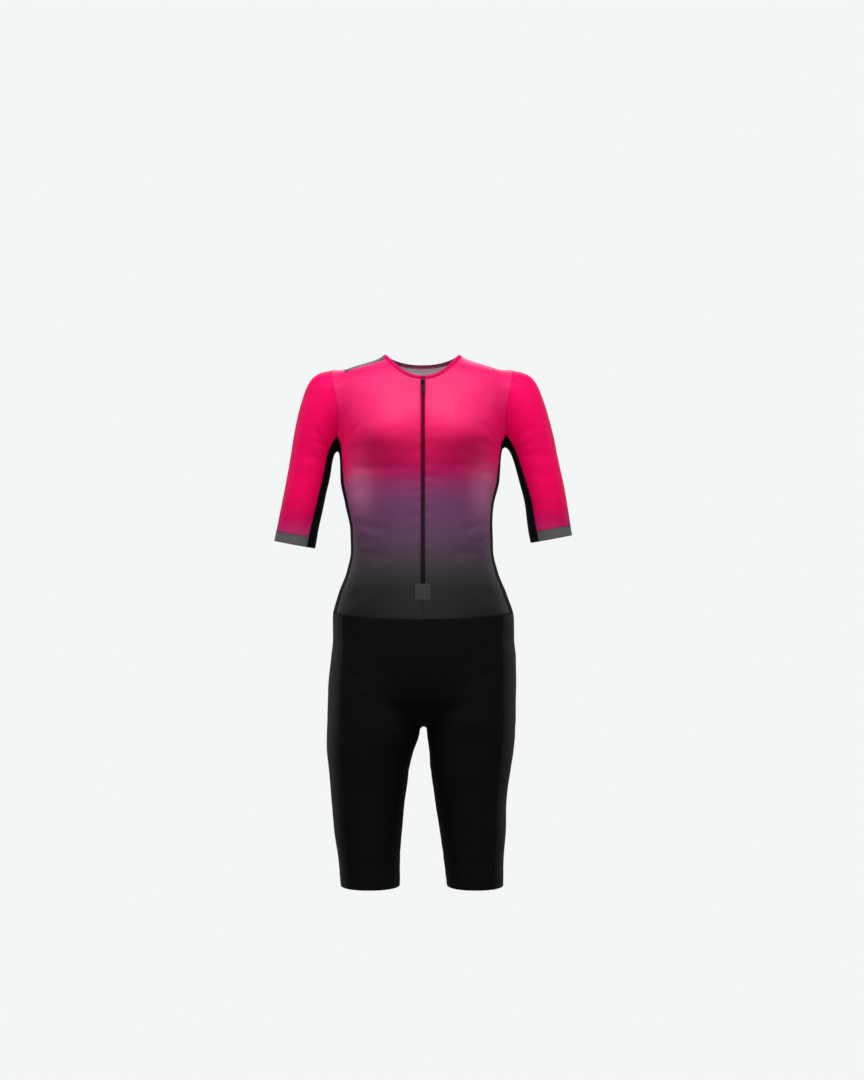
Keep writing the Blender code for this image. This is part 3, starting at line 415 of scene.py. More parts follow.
# ---- Seams ----------------------------------------------------------------------------------------------
def smooth_through(knots, closed=False):
    """A dense curve through the knots, with PER_SPAN points from each knot to the next."""
    if closed:
        ring = np.vstack([knots[-1:], knots, knots[:2]])
    else:
        ring = np.vstack([2 * knots[0] - knots[1], knots, 2 * knots[-1] - knots[-2]])
    t = np.linspace(0, 1, PER_SPAN, endpoint=False)[:, None]
    spans = []
    for p0, p1, p2, p3 in zip(ring, ring[1:], ring[2:], ring[3:]):
        bend = (2 * p0 - 5 * p1 + 4 * p2 - p3) * t**2
        twist = (3 * p1 - p0 - 3 * p2 + p3) * t**3
        spans.append(0.5 * (2 * p1 + (p2 - p0) * t + bend + twist))
    return np.vstack([*spans, knots[:1] if closed else knots[-1:]])


def spaced(curve, cells):
    """The curve as cells + 1 points at equal distances along it."""
    run = np.concatenate([[0], np.cumsum(np.linalg.norm(np.diff(curve, axis=0), axis=1))])
    stations = np.linspace(0, run[-1], cells + 1)
    return np.stack([np.interp(stations, run, curve[:, k]) for k in range(3)], axis=1)


def seam(guides, cells):
    """A smooth seam through guide points in millimetres, laid on the form."""
    knots = lay(np.array(guides, float) * MM)
    curve = smooth_through(knots)
    return lay(spaced(lay(curve), cells))


def joined(*runs):
    """Runs of seam end to end, with each shared point once."""
    return np.vstack([runs[0], *[run[1:] for run in runs[1:]]])


def on_trunk(height, bearing):
    """A guide point on the trunk: bearing 0 is the wearer's left, -90 the front and 90 the back."""
    (_, half_width, front, back), _ = TRUNK_AT(np.array([height * MM]))
    angle = math.radians(bearing)
    depth = front if bearing < 0 else back
    return (half_width[0] * math.cos(angle) / MM, depth[0] * math.sin(angle) / MM, height)


def on_limb(at, side, height, bearing):
    """A guide point on a limb: bearing 0 is its outer side, -90 the front, 90 the back, 180 the inside."""
    (centre_x, centre_y, half_width, half_depth), _ = at(np.array([height * MM]))
    angle = math.radians(bearing)
    x = side * (centre_x[0] + half_width[0] * math.cos(angle))
    return (x / MM, (centre_y[0] + half_depth[0] * math.sin(angle)) / MM, height)


def mirrored(guides, side):
    return [(x * side, y, z) for x, y, z in guides]


def waist_height(bearing):
    """The waist seam dips at the centre front."""
    front = max(0.0, -math.sin(math.radians(bearing)))
    return WAIST_HEIGHT - WAIST_DIP * front**2


def waist_run(first, last, side, cells):
    """Part of the waist seam, from one bearing round the trunk to another."""
    bearings = np.linspace(first, last, WAIST_GUIDES)
    return seam(mirrored([on_trunk(waist_height(b), b) for b in bearings], side), cells)


def waist_seams(side):
    """The waist seam of one half, split where the bodice's and the shorts' side seams meet it."""
    return {
        "front": waist_run(-90, -THIGH_BEARING, side, FRONT_CELLS - STEP_CELLS),
        "front_step": waist_run(-THIGH_BEARING, -SIDE_BEARING, side, STEP_CELLS),
        "side": waist_run(-SIDE_BEARING, SIDE_BEARING, side, UNDERARM_CELLS),
        "back_step": waist_run(SIDE_BEARING, THIGH_BEARING, side, STEP_CELLS),
        "back": waist_run(THIGH_BEARING, 90, side, BACK_CELLS // 2 - STEP_CELLS),
    }


def neck_height(angle):
    """The neck edge drops from its sides to the centre front, and a little to the centre back."""
    across = abs(math.cos(angle))
    part = "front" if math.sin(angle) < 0 else "back"
    return NECK_EDGE["height"] - NECK_EDGE[part + "_drop"] * (1 - across ** NECK_ROUND[part])


def neck_ring():
    """The neck's upper edge, all round from the centre front by the wearer's left."""
    guides = []
    for step in range(NECK_GUIDES):
        angle = -math.pi / 2 + step * 2 * math.pi / NECK_GUIDES
        depth = NECK_EDGE["front"] if math.sin(angle) < 0 else NECK_EDGE["back"]
        across = ZIP_SHIFT * max(0.0, -math.sin(angle)) + NECK_EDGE["half_width"] * math.cos(angle)
        guides.append((across, depth * math.sin(angle), neck_height(angle)))
    return lay(smooth_through(lay(np.array(guides) * MM), closed=True))


def below(curve, distance):
    """A closed neck curve moved down the form by a distance."""
    along = np.gradient(curve, axis=0)
    along[0] = along[-1] = curve[1] - curve[-2]
    down = np.cross(along, outward(curve))
    down /= np.linalg.norm(down, axis=1)[:, None]
    if down[:, 2].mean() > 0:
        down = -down
    return lay(curve + down * distance * MM)


def neck_seams(curve):
    """A closed neck curve as the front runs of both sides and the back run."""
    zip_side = {side: (ZIP_SHIFT + side * ZIP_HALF) * MM for side in (1, -1)}
    left_start = int(np.argmax(curve[:, 0] > zip_side[1]))
    right_start = len(curve) - int(np.argmax(curve[::-1, 0] < zip_side[-1]))
    behind = curve[:, 1] > SHOULDER_LINE * MM
    left_end = int(np.argmax(behind))
    right_end = len(curve) - 1 - int(np.argmax(behind[::-1]))
    left = curve[left_start : left_end + 1]
    right = curve[right_end:right_start][::-1]
    left[0, 0] = zip_side[1]
    right[0, 0] = zip_side[-1]
    return {
        1: spaced(left, NECK_FRONT_CELLS),
        -1: spaced(right, NECK_FRONT_CELLS),
        "back": spaced(curve[left_end : right_end + 1], NECK_BACK_CELLS),
    }


def armhole_seams(side):
    """The armhole as its front, back and underarm runs."""
    centre = np.array([(ARMHOLE_CENTRE[0] * side, *ARMHOLE_CENTRE[1:])], float) * MM
    knots = cast(np.array(mirrored(ARMHOLE, side), float) * MM, centre)
    knots[[0, -2, -1]] = to_crown(knots[[0, -2, -1]], np.repeat(centre, 3, axis=0))
    curve = cast(smooth_through(knots, closed=True), centre)
    tip = SHOULDER_TIP * PER_SPAN
    back = BACK_CORNER * PER_SPAN
    under = spaced(curve[back:], UNDERARM_CELLS)
    under = to_crown(under, np.repeat(centre, len(under), axis=0))[::-1]
    front_run = cast(spaced(curve[: tip + 1], ARMHOLE_CELLS), centre)
    back_run = cast(spaced(curve[tip : back + 1], ARMHOLE_CELLS), centre)
    front_run[0] = under[0]
    back_run[-1] = under[-1]
    return {"front": front_run, "back": back_run, "under": under}


def sleeve_ring(side, up, bearings, cells):
    """A run round the arm, square to its axis and a distance up from the sleeve hem."""
    height = CUFF_HEIGHT[side] + up * math.cos(ARM_LEAN)
    (centre_x, centre_y, half_width, half_depth), _ = ARM_AT[side](np.array([height * MM]))
    guides = []
    for bearing in np.linspace(*bearings, RUN_GUIDES):
        angle = math.radians(bearing)
        out = half_width[0] / MM * math.cos(angle) * math.cos(ARM_LEAN)
        guides.append(
            (
                side * (centre_x[0] / MM + out * math.cos(ARM_LEAN)),
                (centre_y[0] + half_depth[0] * math.sin(angle)) / MM,
                height + out * math.sin(ARM_LEAN),
            )
        )
    return seam(guides, cells)


def sleeve_seams(side, armhole):
    """The seams of one sleeve below its armhole."""
    cuff_front = sleeve_ring(side, CUFF, (-UNDERSLEEVE_BEARING, UNDERSLEEVE_BEARING), 2 * ARMHOLE_CELLS)
    hem_out = sleeve_ring(side, 0, (-UNDERSLEEVE_BEARING, UNDERSLEEVE_BEARING), 2 * ARMHOLE_CELLS)
    hem_in = sleeve_ring(side, 0, (-UNDERSLEEVE_BEARING, UNDERSLEEVE_BEARING - 360), UNDERARM_CELLS)

    def run(corner, bearing, end):
        guides = [tuple(corner / MM)]
        guides += [on_limb(ARM_AT[side], side, height, bearing * share) for height, share in UNDERSLEEVE_RUN]
        guides.append(tuple(end / MM))
        return seam(guides, SLEEVE_CELLS)

    return {
        "front": run(armhole["front"][0], -UNDERSLEEVE_BEARING, cuff_front[0]),
        "back": run(armhole["back"][-1], UNDERSLEEVE_BEARING, cuff_front[-1]),
        "front_cuff": lay(spaced(np.array([cuff_front[0], hem_out[0]]), CUFF_CELLS)),
        "back_cuff": lay(spaced(np.array([cuff_front[-1], hem_out[-1]]), CUFF_CELLS)),
        "cuff": cuff_front,
        "hem_out": hem_out,
        "hem_in": hem_in,
    }


def centre_front(side, neck_point, waist_point):
    """The front's inner edge: along the zip, then along the short seam below it."""
    zip_guides = [tuple(neck_point / MM)]
    for height in np.linspace(neck_point[2] / MM, ZIP_END, RUN_GUIDES)[1:]:
        zip_guides.append((ZIP_SHIFT + side * ZIP_HALF, ZIP_GUIDE_DEPTH, height))
    zip_run = straight_back(seam(zip_guides, ZIP_CELLS), ZIP_SHIFT + side * ZIP_HALF)
    heights = np.linspace(ZIP_END, waist_point[2] / MM, BELOW_ZIP_CELLS + 1)
    below_zip = lay(np.array([(ZIP_SHIFT, ZIP_GUIDE_DEPTH, height) for height in heights]) * MM)
    below_zip[0] = zip_run[-1]
    below_zip[-1] = waist_point
    return zip_run, below_zip


def side_run(side, face, corner, waist_point):
    """The edge of the bodice's side piece, from the armhole's corner to the waist."""
    guides = [tuple(corner / MM)]
    guides += mirrored([on_trunk(height, face * SIDE_BEARING) for height in SIDE_HEIGHTS], side)
    guides.append(tuple(waist_point / MM))
    return seam(guides, SIDE_CELLS)


def rise_run(guides, waist_point):
    """The centre front or centre back seam of the shorts, from the waist to the crotch."""

    def turned(points):
        centres = points.copy()
        centres[:, 1:] = np.array(RISE_CENTRE) * MM
        return cast(points, centres)

    knots = turned(np.array([tuple(waist_point / MM), *guides, CROTCH]) * MM)
    curve = smooth_through(knots)
    run = turned(spaced(turned(curve), RISE_CELLS))
    run[0] = waist_point
    return run


def inseam_run(side, crotch):
    """The inner leg seam. Its guides lie just inside the leg, so that they are laid on this leg."""
    guides = [tuple(crotch / MM)]
    for height in INSEAM_HEIGHTS:
        x, y, _ = on_limb(LEG_AT[side], side, height, 180)
        guides.append((x + side * INSIDE, y, height))
    knots = lay(np.array(guides) * MM)
    knots[0] = crotch
    curve = smooth_through(knots)
    run = spaced(curve, INSEAM_CELLS)
    run[1:, 0] += side * INSIDE * MM
    run[1:] = lay(run[1:])
    run[-1, 2] = HEM_HEIGHT * MM
    return run


def thigh_run(side, face, waist_point):
    """The front or back side seam of the shorts."""
    guides = [tuple(waist_point / MM)]
    guides += [(side * THIGH_SEAM, face * THIGH_GUIDE_DEPTH, height) for height in THIGH_HEIGHTS]
    run = seam(guides, LEG_CELLS)
    run[-1, 2] = HEM_HEIGHT * MM
    return run


def hem_run(side, start, end, through, cells):
    """A level run of the leg hem between two seams, passing through bearings round the leg."""
    guides = [tuple(start / MM)]
    guides += [on_limb(LEG_AT[side], side, HEM_HEIGHT, bearing) for bearing in through]
    guides.append(tuple(end / MM))
    run = seam(guides, cells)
    run[:, 2] = HEM_HEIGHT * MM
    run[0] = start
    run[-1] = end
    return run


# ---- Grids between the seams ----------------------------------------------------------------------------
def coons(low, high, start, end):
    """A grid of points between four runs of seam: low and high across it, start and end from low to high."""
    u = np.linspace(0, 1, len(low))[None, :, None]
    v = np.linspace(0, 1, len(start))[:, None, None]
    across = low[None] * (1 - v) + high[None] * v
    along = start[:, None] * (1 - u) + end[:, None] * u
    corners = (low[0] * (1 - u) + low[-1] * u) * (1 - v) + (high[0] * (1 - u) + high[-1] * u) * v
    return across + along - corners


def panel_grid(low, high, start, end):
    """The four runs as they are, with the points between them laid on the form."""
    grid = coons(low, high, start, end)
    inner = grid[1:-1, 1:-1]
    grid[1:-1, 1:-1] = lay(inner.reshape(-1, 3)).reshape(inner.shape)
    return grid


def turned_grid(low, high, start, end, axis, facing, crowd_row=None):
    """The four runs as they are, with the points between them on level rays from an axis inside the form.

    A point's place between the seams is worked out in bearing and height round the axis, so a piece that
    faces a narrow gap stays on its own wall of it. Facing is the bearing that the piece looks to. Near the
    crowd row, a share of the way along the piece, the columns crowd towards both of the piece's sides.
    """

    def bearing_and_height(run):
        centres = axis(run[:, 2])
        bearing = np.arctan2(run[:, 1] - centres[:, 1], run[:, 0] - centres[:, 0]) - facing
        return np.stack([np.mod(bearing + math.pi, 2 * math.pi) - math.pi, run[:, 2]], axis=1)

    places = coons(*[bearing_and_height(run) for run in (low, high, start, end)])
    if crowd_row is not None:
        along = np.linspace(0, 1, len(start))[:, None]
        across = np.linspace(0, 1, len(low))[None]
        crowd = GATHER * np.exp(-(((along - crowd_row) / GATHER_REACH) ** 2))
        width = places[:, -1:, 0] - places[:, :1, 0]
        places[..., 0] -= crowd * np.sin(2 * math.pi * across) / (2 * math.pi) * width
    bearing, height = places[1:-1, 1:-1].reshape(-1, 2).T
    centres = axis(height)
    ray = np.stack([np.cos(bearing + facing), np.sin(bearing + facing), np.zeros_like(bearing)], axis=1)
    grid = coons(low, high, start, end)
    grid[1:-1, 1:-1] = cast(centres + ray * RAY * MM, centres).reshape(grid[1:-1, 1:-1].shape)
    return grid


def axis_of(at, side=1):
    """The points on the axis of a tube, at these heights."""

    def axis(height):
        centre_x = at(height)[0][0] * side
        centre_y = at(height)[0][1] if at is not TRUNK_AT else np.zeros_like(height)
        return np.stack([centre_x, centre_y, height], axis=1)

    return axis


# ---- Shared state and lists -----------------------------------------------------------------------------
SIDES = ((1, "left"), (-1, "right"))
SEAMS = {}
CREASE_LINES = []
PIECES = {}  # face and normals of each finished piece, by name, for the threads that follow its edges
SEAM_GAP = 0.3
PATCH_CLOTH = 1.0
PATCH_EDGE = {"drop": 0.45, "reach": 1.5}  # the drop is a share of the patch's cloth
PATCH_STITCH = {"sink": 0.18, "width": 0.5}
TAPE_CELLS = 8
TAPE_DEPTH = 0.95  # from the fronts' face down to the tape
TAPE_WALL = 0.6
TEETH_DEPTH = 0.15  # from the fronts' face down to the top of the teeth
HEM_TWIN = 4.0  # between the two rows of stitches along a hem
BAND_INSET = 1.4  # from the binding's seam to its stitches
THREAD_RISE = 0.3  # from the cloth to a stitch's middle, as a share of the thread
COIL_SLANT = math.radians(84)
COIL_SPREAD = 0.55  # from the zip's middle to the middle of a tooth
FLOOR = {"radius": 60.0, "height": -1.44, "sides": 96, "glow": 0.6}
CAMERA = {"lens": 66.667, "sensor": 36.0, "place": (0.018, -3.6, -0.3276), "turn": (math.radians(90), 0, 0)}
LIGHTS = (  # name, the property with its power, place, aim, size
    ("key", "key", (0.0, -1.25, 2.2), (0.0, 0.0, -0.25), (2.2, 1.2)),
    ("front", "front", (0.0, -3.9, 0.2), (0.0, 0.0, -0.3), (1.8, 1.0)),
    ("wing_left", "wing", (2.3, -1.3, 1.5), (0.1, 0.0, -0.25), (0.9, 0.9)),
    ("wing_right", "wing", (-2.3, -1.3, 1.5), (-0.1, 0.0, -0.25), (0.9, 0.9)),
    ("side_left", "side", (1.6, 1.1, -0.4), (0.1, 0.0, -0.5), (0.5, 1.6)),
    ("side_right", "side", (-1.6, 1.1, -0.4), (-0.1, 0.0, -0.5), (0.5, 1.6)),
    ("back", "back", (0.0, 2.3, 1.4), (0.0, 0.0, -0.3), (2.0, 1.4)),
)

# ---- Which edges are sewn, and with what ----------------------------------------------------------------
# thread; rows beside edges: piece, edges, how far in; threads across edges: piece, edges, part of the edge.
# "*" stands for left and right.
ALL_ALONG = (0.0, 1.0)
THREADS = {
    "threads_print": (
        "print_thread",
        (
            ("front_*", "high start end low", "inset"),
            ("back", "low high start end", "inset"),
            ("sleeve_*", "low high start end", "inset"),
            ("neckband_*", "low", "band"),
        ),
        (("front_*", "high end", ALL_ALONG), ("back", "start end", ALL_ALONG)),
    ),
    "threads_black": (
        "black_thread",
        (
            ("side_*", "low high start end", "inset"),
            ("undersleeve_*", "high start end", "inset"),
            ("neckband_back", "low", "band"),
        ),
        (
            ("side_*", "high", ALL_ALONG),
            ("undersleeve_*", "start end", ALL_ALONG),
            ("sleeve_*", "low", ALL_ALONG),
        ),
    ),
    "threads_shorts": (
        "black_thread",
        tuple(
            ("shorts_" + part + "_*", edges, how_far)
            for part in ("front", "side", "back")
            for edges, how_far in (("low start end", "inset"), ("high", "hem"), ("high", "hem_twin"))
        ),
        (
            ("shorts_side_*", "low start end", ALL_ALONG),
            ("shorts_front_*", "low", ALL_ALONG),
            ("shorts_back_*", "low", ALL_ALONG),
            ("shorts_front_left", "start", ALL_ALONG),
            ("shorts_front_right", "start", (CROTCH_ROW, 1.0)),
            ("shorts_back_left", "end", (0.0, CROTCH_ROW)),
        ),
    ),
    "threads_grey": (
        "grey_thread",
        (("cuff_*", "high", "inset"), ("zip_patch", "low high start end", "border")),
        (),
    ),
}


def one_by_one(rows):
    """The rows one edge at a time, a starred name once for the left side and once for the right."""
    for name, edges, how in rows:
        for edge in edges.split():
            for word in ("left", "right") if "*" in name else ("",):
                yield name.replace("*", word), edge, how


# ---- Creases: tube, start height and bearing, end height and bearing, bow, width, depth ------------------
CREASES = (
    # drawn from the front of the armpit to the chest
    ("trunk", -156, -29, -121, -54, 3, 5.0, 1.3),
    ("trunk", -149, -27, -98, -43, -2, 4.2, 0.9),
    ("trunk", -168, -30, -153, -60, 4, 6.0, 1.0),
    ("trunk", -118, -37, -78, -52, 2, 6.5, 0.7),
    ("trunk", -92, -40, -60, -62, -3, 7.0, 0.5),
    # under the bust and over the ribs
    ("trunk", -188, -36, -196, -78, -4, 7.5, 0.9),
    ("trunk", -214, -28, -205, -58, 3, 6.0, 0.6),
    ("trunk", -246, -24, -232, -50, 3, 7.0, 0.5),
    # the waist gives way in short level folds
    ("trunk", -298, -23, -316, -60, 4, 6.5, 1.0),
    ("trunk", -325, -22, -333, -52, -3, 5.5, 0.9),
    ("trunk", -347, -28, -358, -72, 4, 7.0, 0.6),
    ("trunk", -372, -24, -384, -49, 2, 6.0, 0.5),
    ("trunk", -436, -26, -408, -57, -3, 8.0, 0.6),
    # small of the back
    ("trunk", -287, 34, -296, 79, 3, 6.0, 0.9),
    ("trunk", -303, 25, -313, 68, -4, 6.5, 1.4),
    ("trunk", -323, 30, -331, 84, 3, 6.0, 1.2),
    ("trunk", -344, 27, -351, 66, -3, 5.5, 1.0),
    ("trunk", -368, 38, -373, 82, 3, 7.0, 0.6),
    # shoulder blades
    ("trunk", -152, 31, -118, 60, 4, 5.5, 1.2),
    ("trunk", -168, 33, -150, 71, -4, 6.0, 0.9),
    ("trunk", -101, 44, -70, 66, 3, 6.5, 0.7),
    ("trunk", -196, 36, -214, 70, 4, 8.0, 0.6),
    ("trunk", -112, 83, -236, 87, 4, 11.0, 0.7),
    # hip, groin and seat
    ("trunk", -548, -37, -596, -66, 4, 8.0, 0.8),
    ("trunk", -497, -30, -522, -52, -3, 8.0, 0.5),
    ("trunk", -508, 40, -488, 76, 4, 9.0, 0.6),
    ("trunk", -538, 84, -600, 86, 3, 9.0, 0.8),
    ("leg", -656, -163, -613, -118, 3, 5.0, 1.1),
    ("leg", -670, -160, -640, -100, -3, 5.5, 0.9),
    ("leg", -688, -166, -676, -112, 3, 6.0, 0.6),
    ("leg", -648, 58, -666, 122, -4, 6.0, 1.2),
    ("leg", -668, 78, -692, 138, -3, 6.0, 0.9),
    ("leg", -700, 98, -722, 150, 3, 7.0, 0.6),
    # thighs
    ("leg", -752, -44, -776, -103, 4, 8.0, 0.5),
    ("leg", -738, 168, -766, 212, 3, 6.0, 0.6),
    ("leg", -814, -18, -852, -34, 3, 8.0, 0.4),
    ("leg", -846, 64, -864, 118, -4, 7.0, 0.5),
    ("leg", -898, -58, -909, -116, 3, 6.5, 0.5),
    ("leg", -884, 150, -899, 208, 3, 6.0, 0.4),
    # sleeves: gathered at the armpit, calmer towards the cuff
    ("arm", -151, -122, -127, -76, 3, 4.8, 1.2),
    ("arm", -167, -131, -150, -86, -3, 5.0, 1.0),
    ("arm", -184, -126, -177, -78, 3, 5.5, 0.8),
    ("arm", -206, -112, -216, -62, -3, 6.0, 0.6),
    ("arm", -243, -76, -255, -24, 3, 6.5, 0.5),
    ("arm", -104, -28, -156, -43, 3, 8.0, 0.6),
    ("arm", -88, 21, -142, 30, -3, 8.0, 0.6),
    ("arm", -182, -10, -226, 6, 3, 8.0, 0.4),
    ("arm", -151, 121, -129, 79, 3, 5.0, 1.1),
    ("arm", -172, 127, -159, 77, -3, 5.0, 0.9),
    ("arm", -199, 117, -208, 66, 3, 6.0, 0.7),
    ("arm", -238, 92, -251, 44, -3, 6.5, 0.5),
    ("arm", -286, -42, -262, -66, 3, 5.5, 0.5),
    ("arm", -292, 34, -268, 57, -3, 5.5, 0.5),
)
OTHER_SIDE = {"height": 7.0, "bearing": 4.5, "size": 0.3}  # how far the right side's creases differ
OTHER_TURN = {"crease": 2.4, "bearing": 1.7, "size": 2.3}  # how the differences change, crease by crease
OTHER_END = 0.6  # height difference at a crease's far end, as a share of that at its start
CREASE_POINTS = 7
FLANK = 0.35  # height of the low swells beside a crease, as a share of its depth
CREASE_REACH = 5  # how many of its widths a crease reaches into the cloth
CREASE_FADE = 0.8  # below 1, so that a crease keeps its depth for most of its length
PUCKER_REACH = 7.0  # how far a seam's pucker runs into the cloth
HEM_SLOPE = 1.2  # over which the doubled cloth of a hem runs out
ZIP_WAVE = {"length": 23.0, "reach": 13.0, "height": 0.35, "top": -52.0, "inner": 6.0, "fade": 20.0}
ZIP_DRIFT = {"length": 19.0, "size": 1.7, "right": 2.1}  # makes the waves uneven: millimetres, angles


def crease_lines():
    """Every crease as points on the form, with its width and depth in metres."""
    guides = []
    sizes = []
    for number, (tube, height_a, bearing_a, height_b, bearing_b, bow, width, depth) in enumerate(CREASES):
        for side in (1, -1):
            turn = number * OTHER_TURN["crease"] if side < 0 else 0.0
            lift = OTHER_SIDE["height"] * math.sin(turn)
            swing = OTHER_SIDE["bearing"] * math.sin(OTHER_TURN["bearing"] * turn)
            size = 1 + OTHER_SIDE["size"] * math.sin(OTHER_TURN["size"] * turn)
            sizes.append((width * MM, depth * size * MM))
            for share in np.linspace(0, 1, CREASE_POINTS):
                height = (height_a + lift) * (1 - share) + (height_b + OTHER_END * lift) * share
                height += bow * math.sin(math.pi * share)
                bearing = (bearing_a + swing) * (1 - share) + (bearing_b - swing) * share
                if tube == "trunk":
                    x, y, z = on_trunk(height, bearing)
                    guides.append((x * side, y, z))
                else:
                    at = (ARM_AT if tube == "arm" else LEG_AT)[side]
                    guides.append(on_limb(at, side, height, bearing))
    laid = lay(np.array(guides) * MM).reshape(-1, CREASE_POINTS, 3)
    return [(line, width, depth) for line, (width, depth) in zip(laid, sizes)]


def along_line(points, line):
    """Each point's distance from a line, and how far along the line its nearest place is, from 0 to 1."""
    nearest = np.full(len(points), np.inf)
    share = np.zeros(len(points))
    spans = len(line) - 1
    for number, (a, b) in enumerate(zip(line, line[1:])):
        step = b - a
        t = np.clip(((points - a) @ step) / (step @ step), 0, 1)
        distance = np.linalg.norm(points - a - t[:, None] * step, axis=1)
        nearer = distance < nearest
        nearest = np.where(nearer, distance, nearest)
        share = np.where(nearer, (number + t) / spans, share)
    return nearest, share


def crease_height(points, lines):
    """How far the creases lift the cloth at these points: negative in a trough, positive beside it."""
    height = np.zeros(len(points))
    for line, width, depth in lines:
        middle = line[len(line) // 2]
        reach = np.linalg.norm(line[-1] - line[0]) / 2 + CREASE_REACH * width
        near = np.linalg.norm(points - middle, axis=1) < reach
        if not near.any():
            continue
        distance, share = along_line(points[near], line)
        fade = np.sin(math.pi * share) ** CREASE_FADE
        trough = np.exp(-((distance / width) ** 2))
        flank = np.exp(-(((distance - 2 * width) / width) ** 2))
        height[near] += depth * fade * (FLANK * flank - trough)
    return height


def pucker(points):
    """Small uneven waves, from -1 to 1: sines of the place on the suit whose lengths never fall together."""
    x, y, z = points.T / MM
    slow = np.sin(x / 5.3 + 1.3 * np.sin(z / 7.7)) * np.sin(z / 3.9 + 1.1 * np.sin(y / 6.1))
    return slow * (0.6 + 0.4 * np.sin(y / 4.7 + x / 11.0))


def zip_wave(points):
    """The cloth beside the zip stands in low waves, because the zip can't stretch with it."""
    x, y, z = points.T / MM
    beside = np.exp(-(((np.abs(x - ZIP_SHIFT) - ZIP_WAVE["inner"]) / ZIP_WAVE["reach"]) ** 2)) * (y < 0)
    below_top = np.clip((ZIP_WAVE["top"] - z) / ZIP_WAVE["fade"], 0, 1)
    inside = below_top * np.clip((z - ZIP_END) / ZIP_WAVE["fade"], 0, 1)
    drift = ZIP_DRIFT["size"] * np.sin(z / ZIP_DRIFT["length"])
    side = np.where(x > ZIP_SHIFT, 0.0, ZIP_DRIFT["right"])
    wave = np.sin(2 * math.pi * z / ZIP_WAVE["length"] + drift + side)
    return ZIP_WAVE["height"] * MM * beside * inside * wave


# ---- Cloth ------------------------------------------------------------------------------------------------
EDGES = ("low", "high", "start", "end")
EXTRA_LINES = (0.4, 0.9, 1.6, 2.6)  # distances from an edge where its groove needs a line of the grid
LAST_EXTRA = 0.9  # how far into the first cell such a line may be, as a share of it
SHARP_EDGE = math.radians(60)
CROWN_ROUNDING = 0.7  # below 1, so that the binding's crown is fuller than a sine


def with_edge_lines(grid):
    """The grid with extra rows and columns close to its edges."""
    for _ in range(2):
        for _ in range(2):
            step = np.linalg.norm(grid[1] - grid[0], axis=1).mean() / MM
            shares = [distance / step for distance in EXTRA_LINES if distance < LAST_EXTRA * step]
            extra = [grid[0] + (grid[1] - grid[0]) * share for share in shares]
            grid = np.concatenate([grid[:1], np.array(extra).reshape(-1, *grid.shape[1:]), grid[1:]])
            grid = grid[::-1]
        grid = grid.swapaxes(0, 1)
    return grid


def edge_distances(grid):
    """The distance of each point from the grid's four edges, measured along its rows and columns."""
    down = np.linalg.norm(np.diff(grid, axis=0), axis=2)
    low = np.concatenate([np.zeros((1, grid.shape[1])), np.cumsum(down, axis=0)])
    across = np.linalg.norm(np.diff(grid, axis=1), axis=2)
    start = np.concatenate([np.zeros((grid.shape[0], 1)), np.cumsum(across, axis=1)], axis=1)
    return {"low": low, "high": low[-1:] - low, "start": start, "end": start[:, -1:] - start}


def smooth_step(share):
    share = np.clip(share, 0, 1)
    return share * share * (3 - 2 * share)


def cloth_mesh(name, face, inner):
    """A thin closed wall between two grids. Its face takes the first material and its reverse the second."""
    rows, columns = face.shape[:2]
    number = np.arange(rows * columns).reshape(rows, columns)
    corners = (number[:-1, :-1], number[:-1, 1:], number[1:, 1:], number[1:, :-1])
    quads = np.stack(corners, axis=2).reshape(-1, 4)
    rim = np.concatenate([number[0, :-1], number[:-1, -1], number[-1, :0:-1], number[:0:-1, 0]])
    after = np.roll(rim, -1)
    count = rows * columns
    side = np.stack([rim, rim + count, after + count, after], axis=1)
    first = face.reshape(-1, 3)[quads[len(quads) // 2]]
    facing = np.cross(first[1] - first[0], first[3] - first[0])
    if facing @ (face - inner).reshape(-1, 3)[quads[len(quads) // 2][0]] < 0:
        quads = quads[:, ::-1]
        side = side[:, ::-1]
    mesh = bpy.data.meshes.new(name)
    points = np.concatenate([face.reshape(-1, 3), inner.reshape(-1, 3)])
    faces = np.concatenate([quads, quads[:, [0, 3, 2, 1]] + count, side])  # both split alike
    mesh.from_pydata(points.tolist(), [], faces.tolist())
    reverse = np.zeros(len(faces), int)
    reverse[len(quads) : 2 * len(quads)] = 1
    mesh.polygons.foreach_set("material_index", reverse)
    cloth_map(mesh, face, count)
    mesh.shade_smooth()
    mesh.set_sharp_from_angle(angle=SHARP_EDGE)
    return mesh


def cloth_map(mesh, face, count):
    """A UV map in metres along the cloth: U across the piece, V along it."""
    distances = edge_distances(face)
    u = distances["start"].mean(axis=0)
    v = distances["low"].mean(axis=1)
    places = np.stack(np.meshgrid(u, v), axis=2).reshape(-1, 2)
    layer = mesh.uv_layers.new(name="cloth")
    corners = np.empty(len(mesh.loops), int)
    mesh.loops.foreach_get("vertex_index", corners)
    layer.data.foreach_set("uv", places[corners % count].astype(np.float32).ravel())


def shown(name, data):
    """A new object in the scene, unturned at the origin."""
    thing = bpy.data.objects.new(name, data)
    bpy.context.scene.collection.objects.link(thing)
    return thing


def cloth_piece(name, node, materials, face, normals, inner):
    """A cloth piece in its node's place, tied to the suit, with the node's solid hidden."""
    piece = shown(name, cloth_mesh(name, face, inner))
    for material in materials:
        piece.data.materials.append(fabric(material))
    PIECES[node] = {"face": face, "normals": normals}
    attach(piece, "suit")
    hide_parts(node)


def rounded_off(distance, lip):
    """How far a free edge is rounded off at these distances from it."""
    return lip * (1 - np.clip(distance / (2 * lip), 0, 1)) ** 2


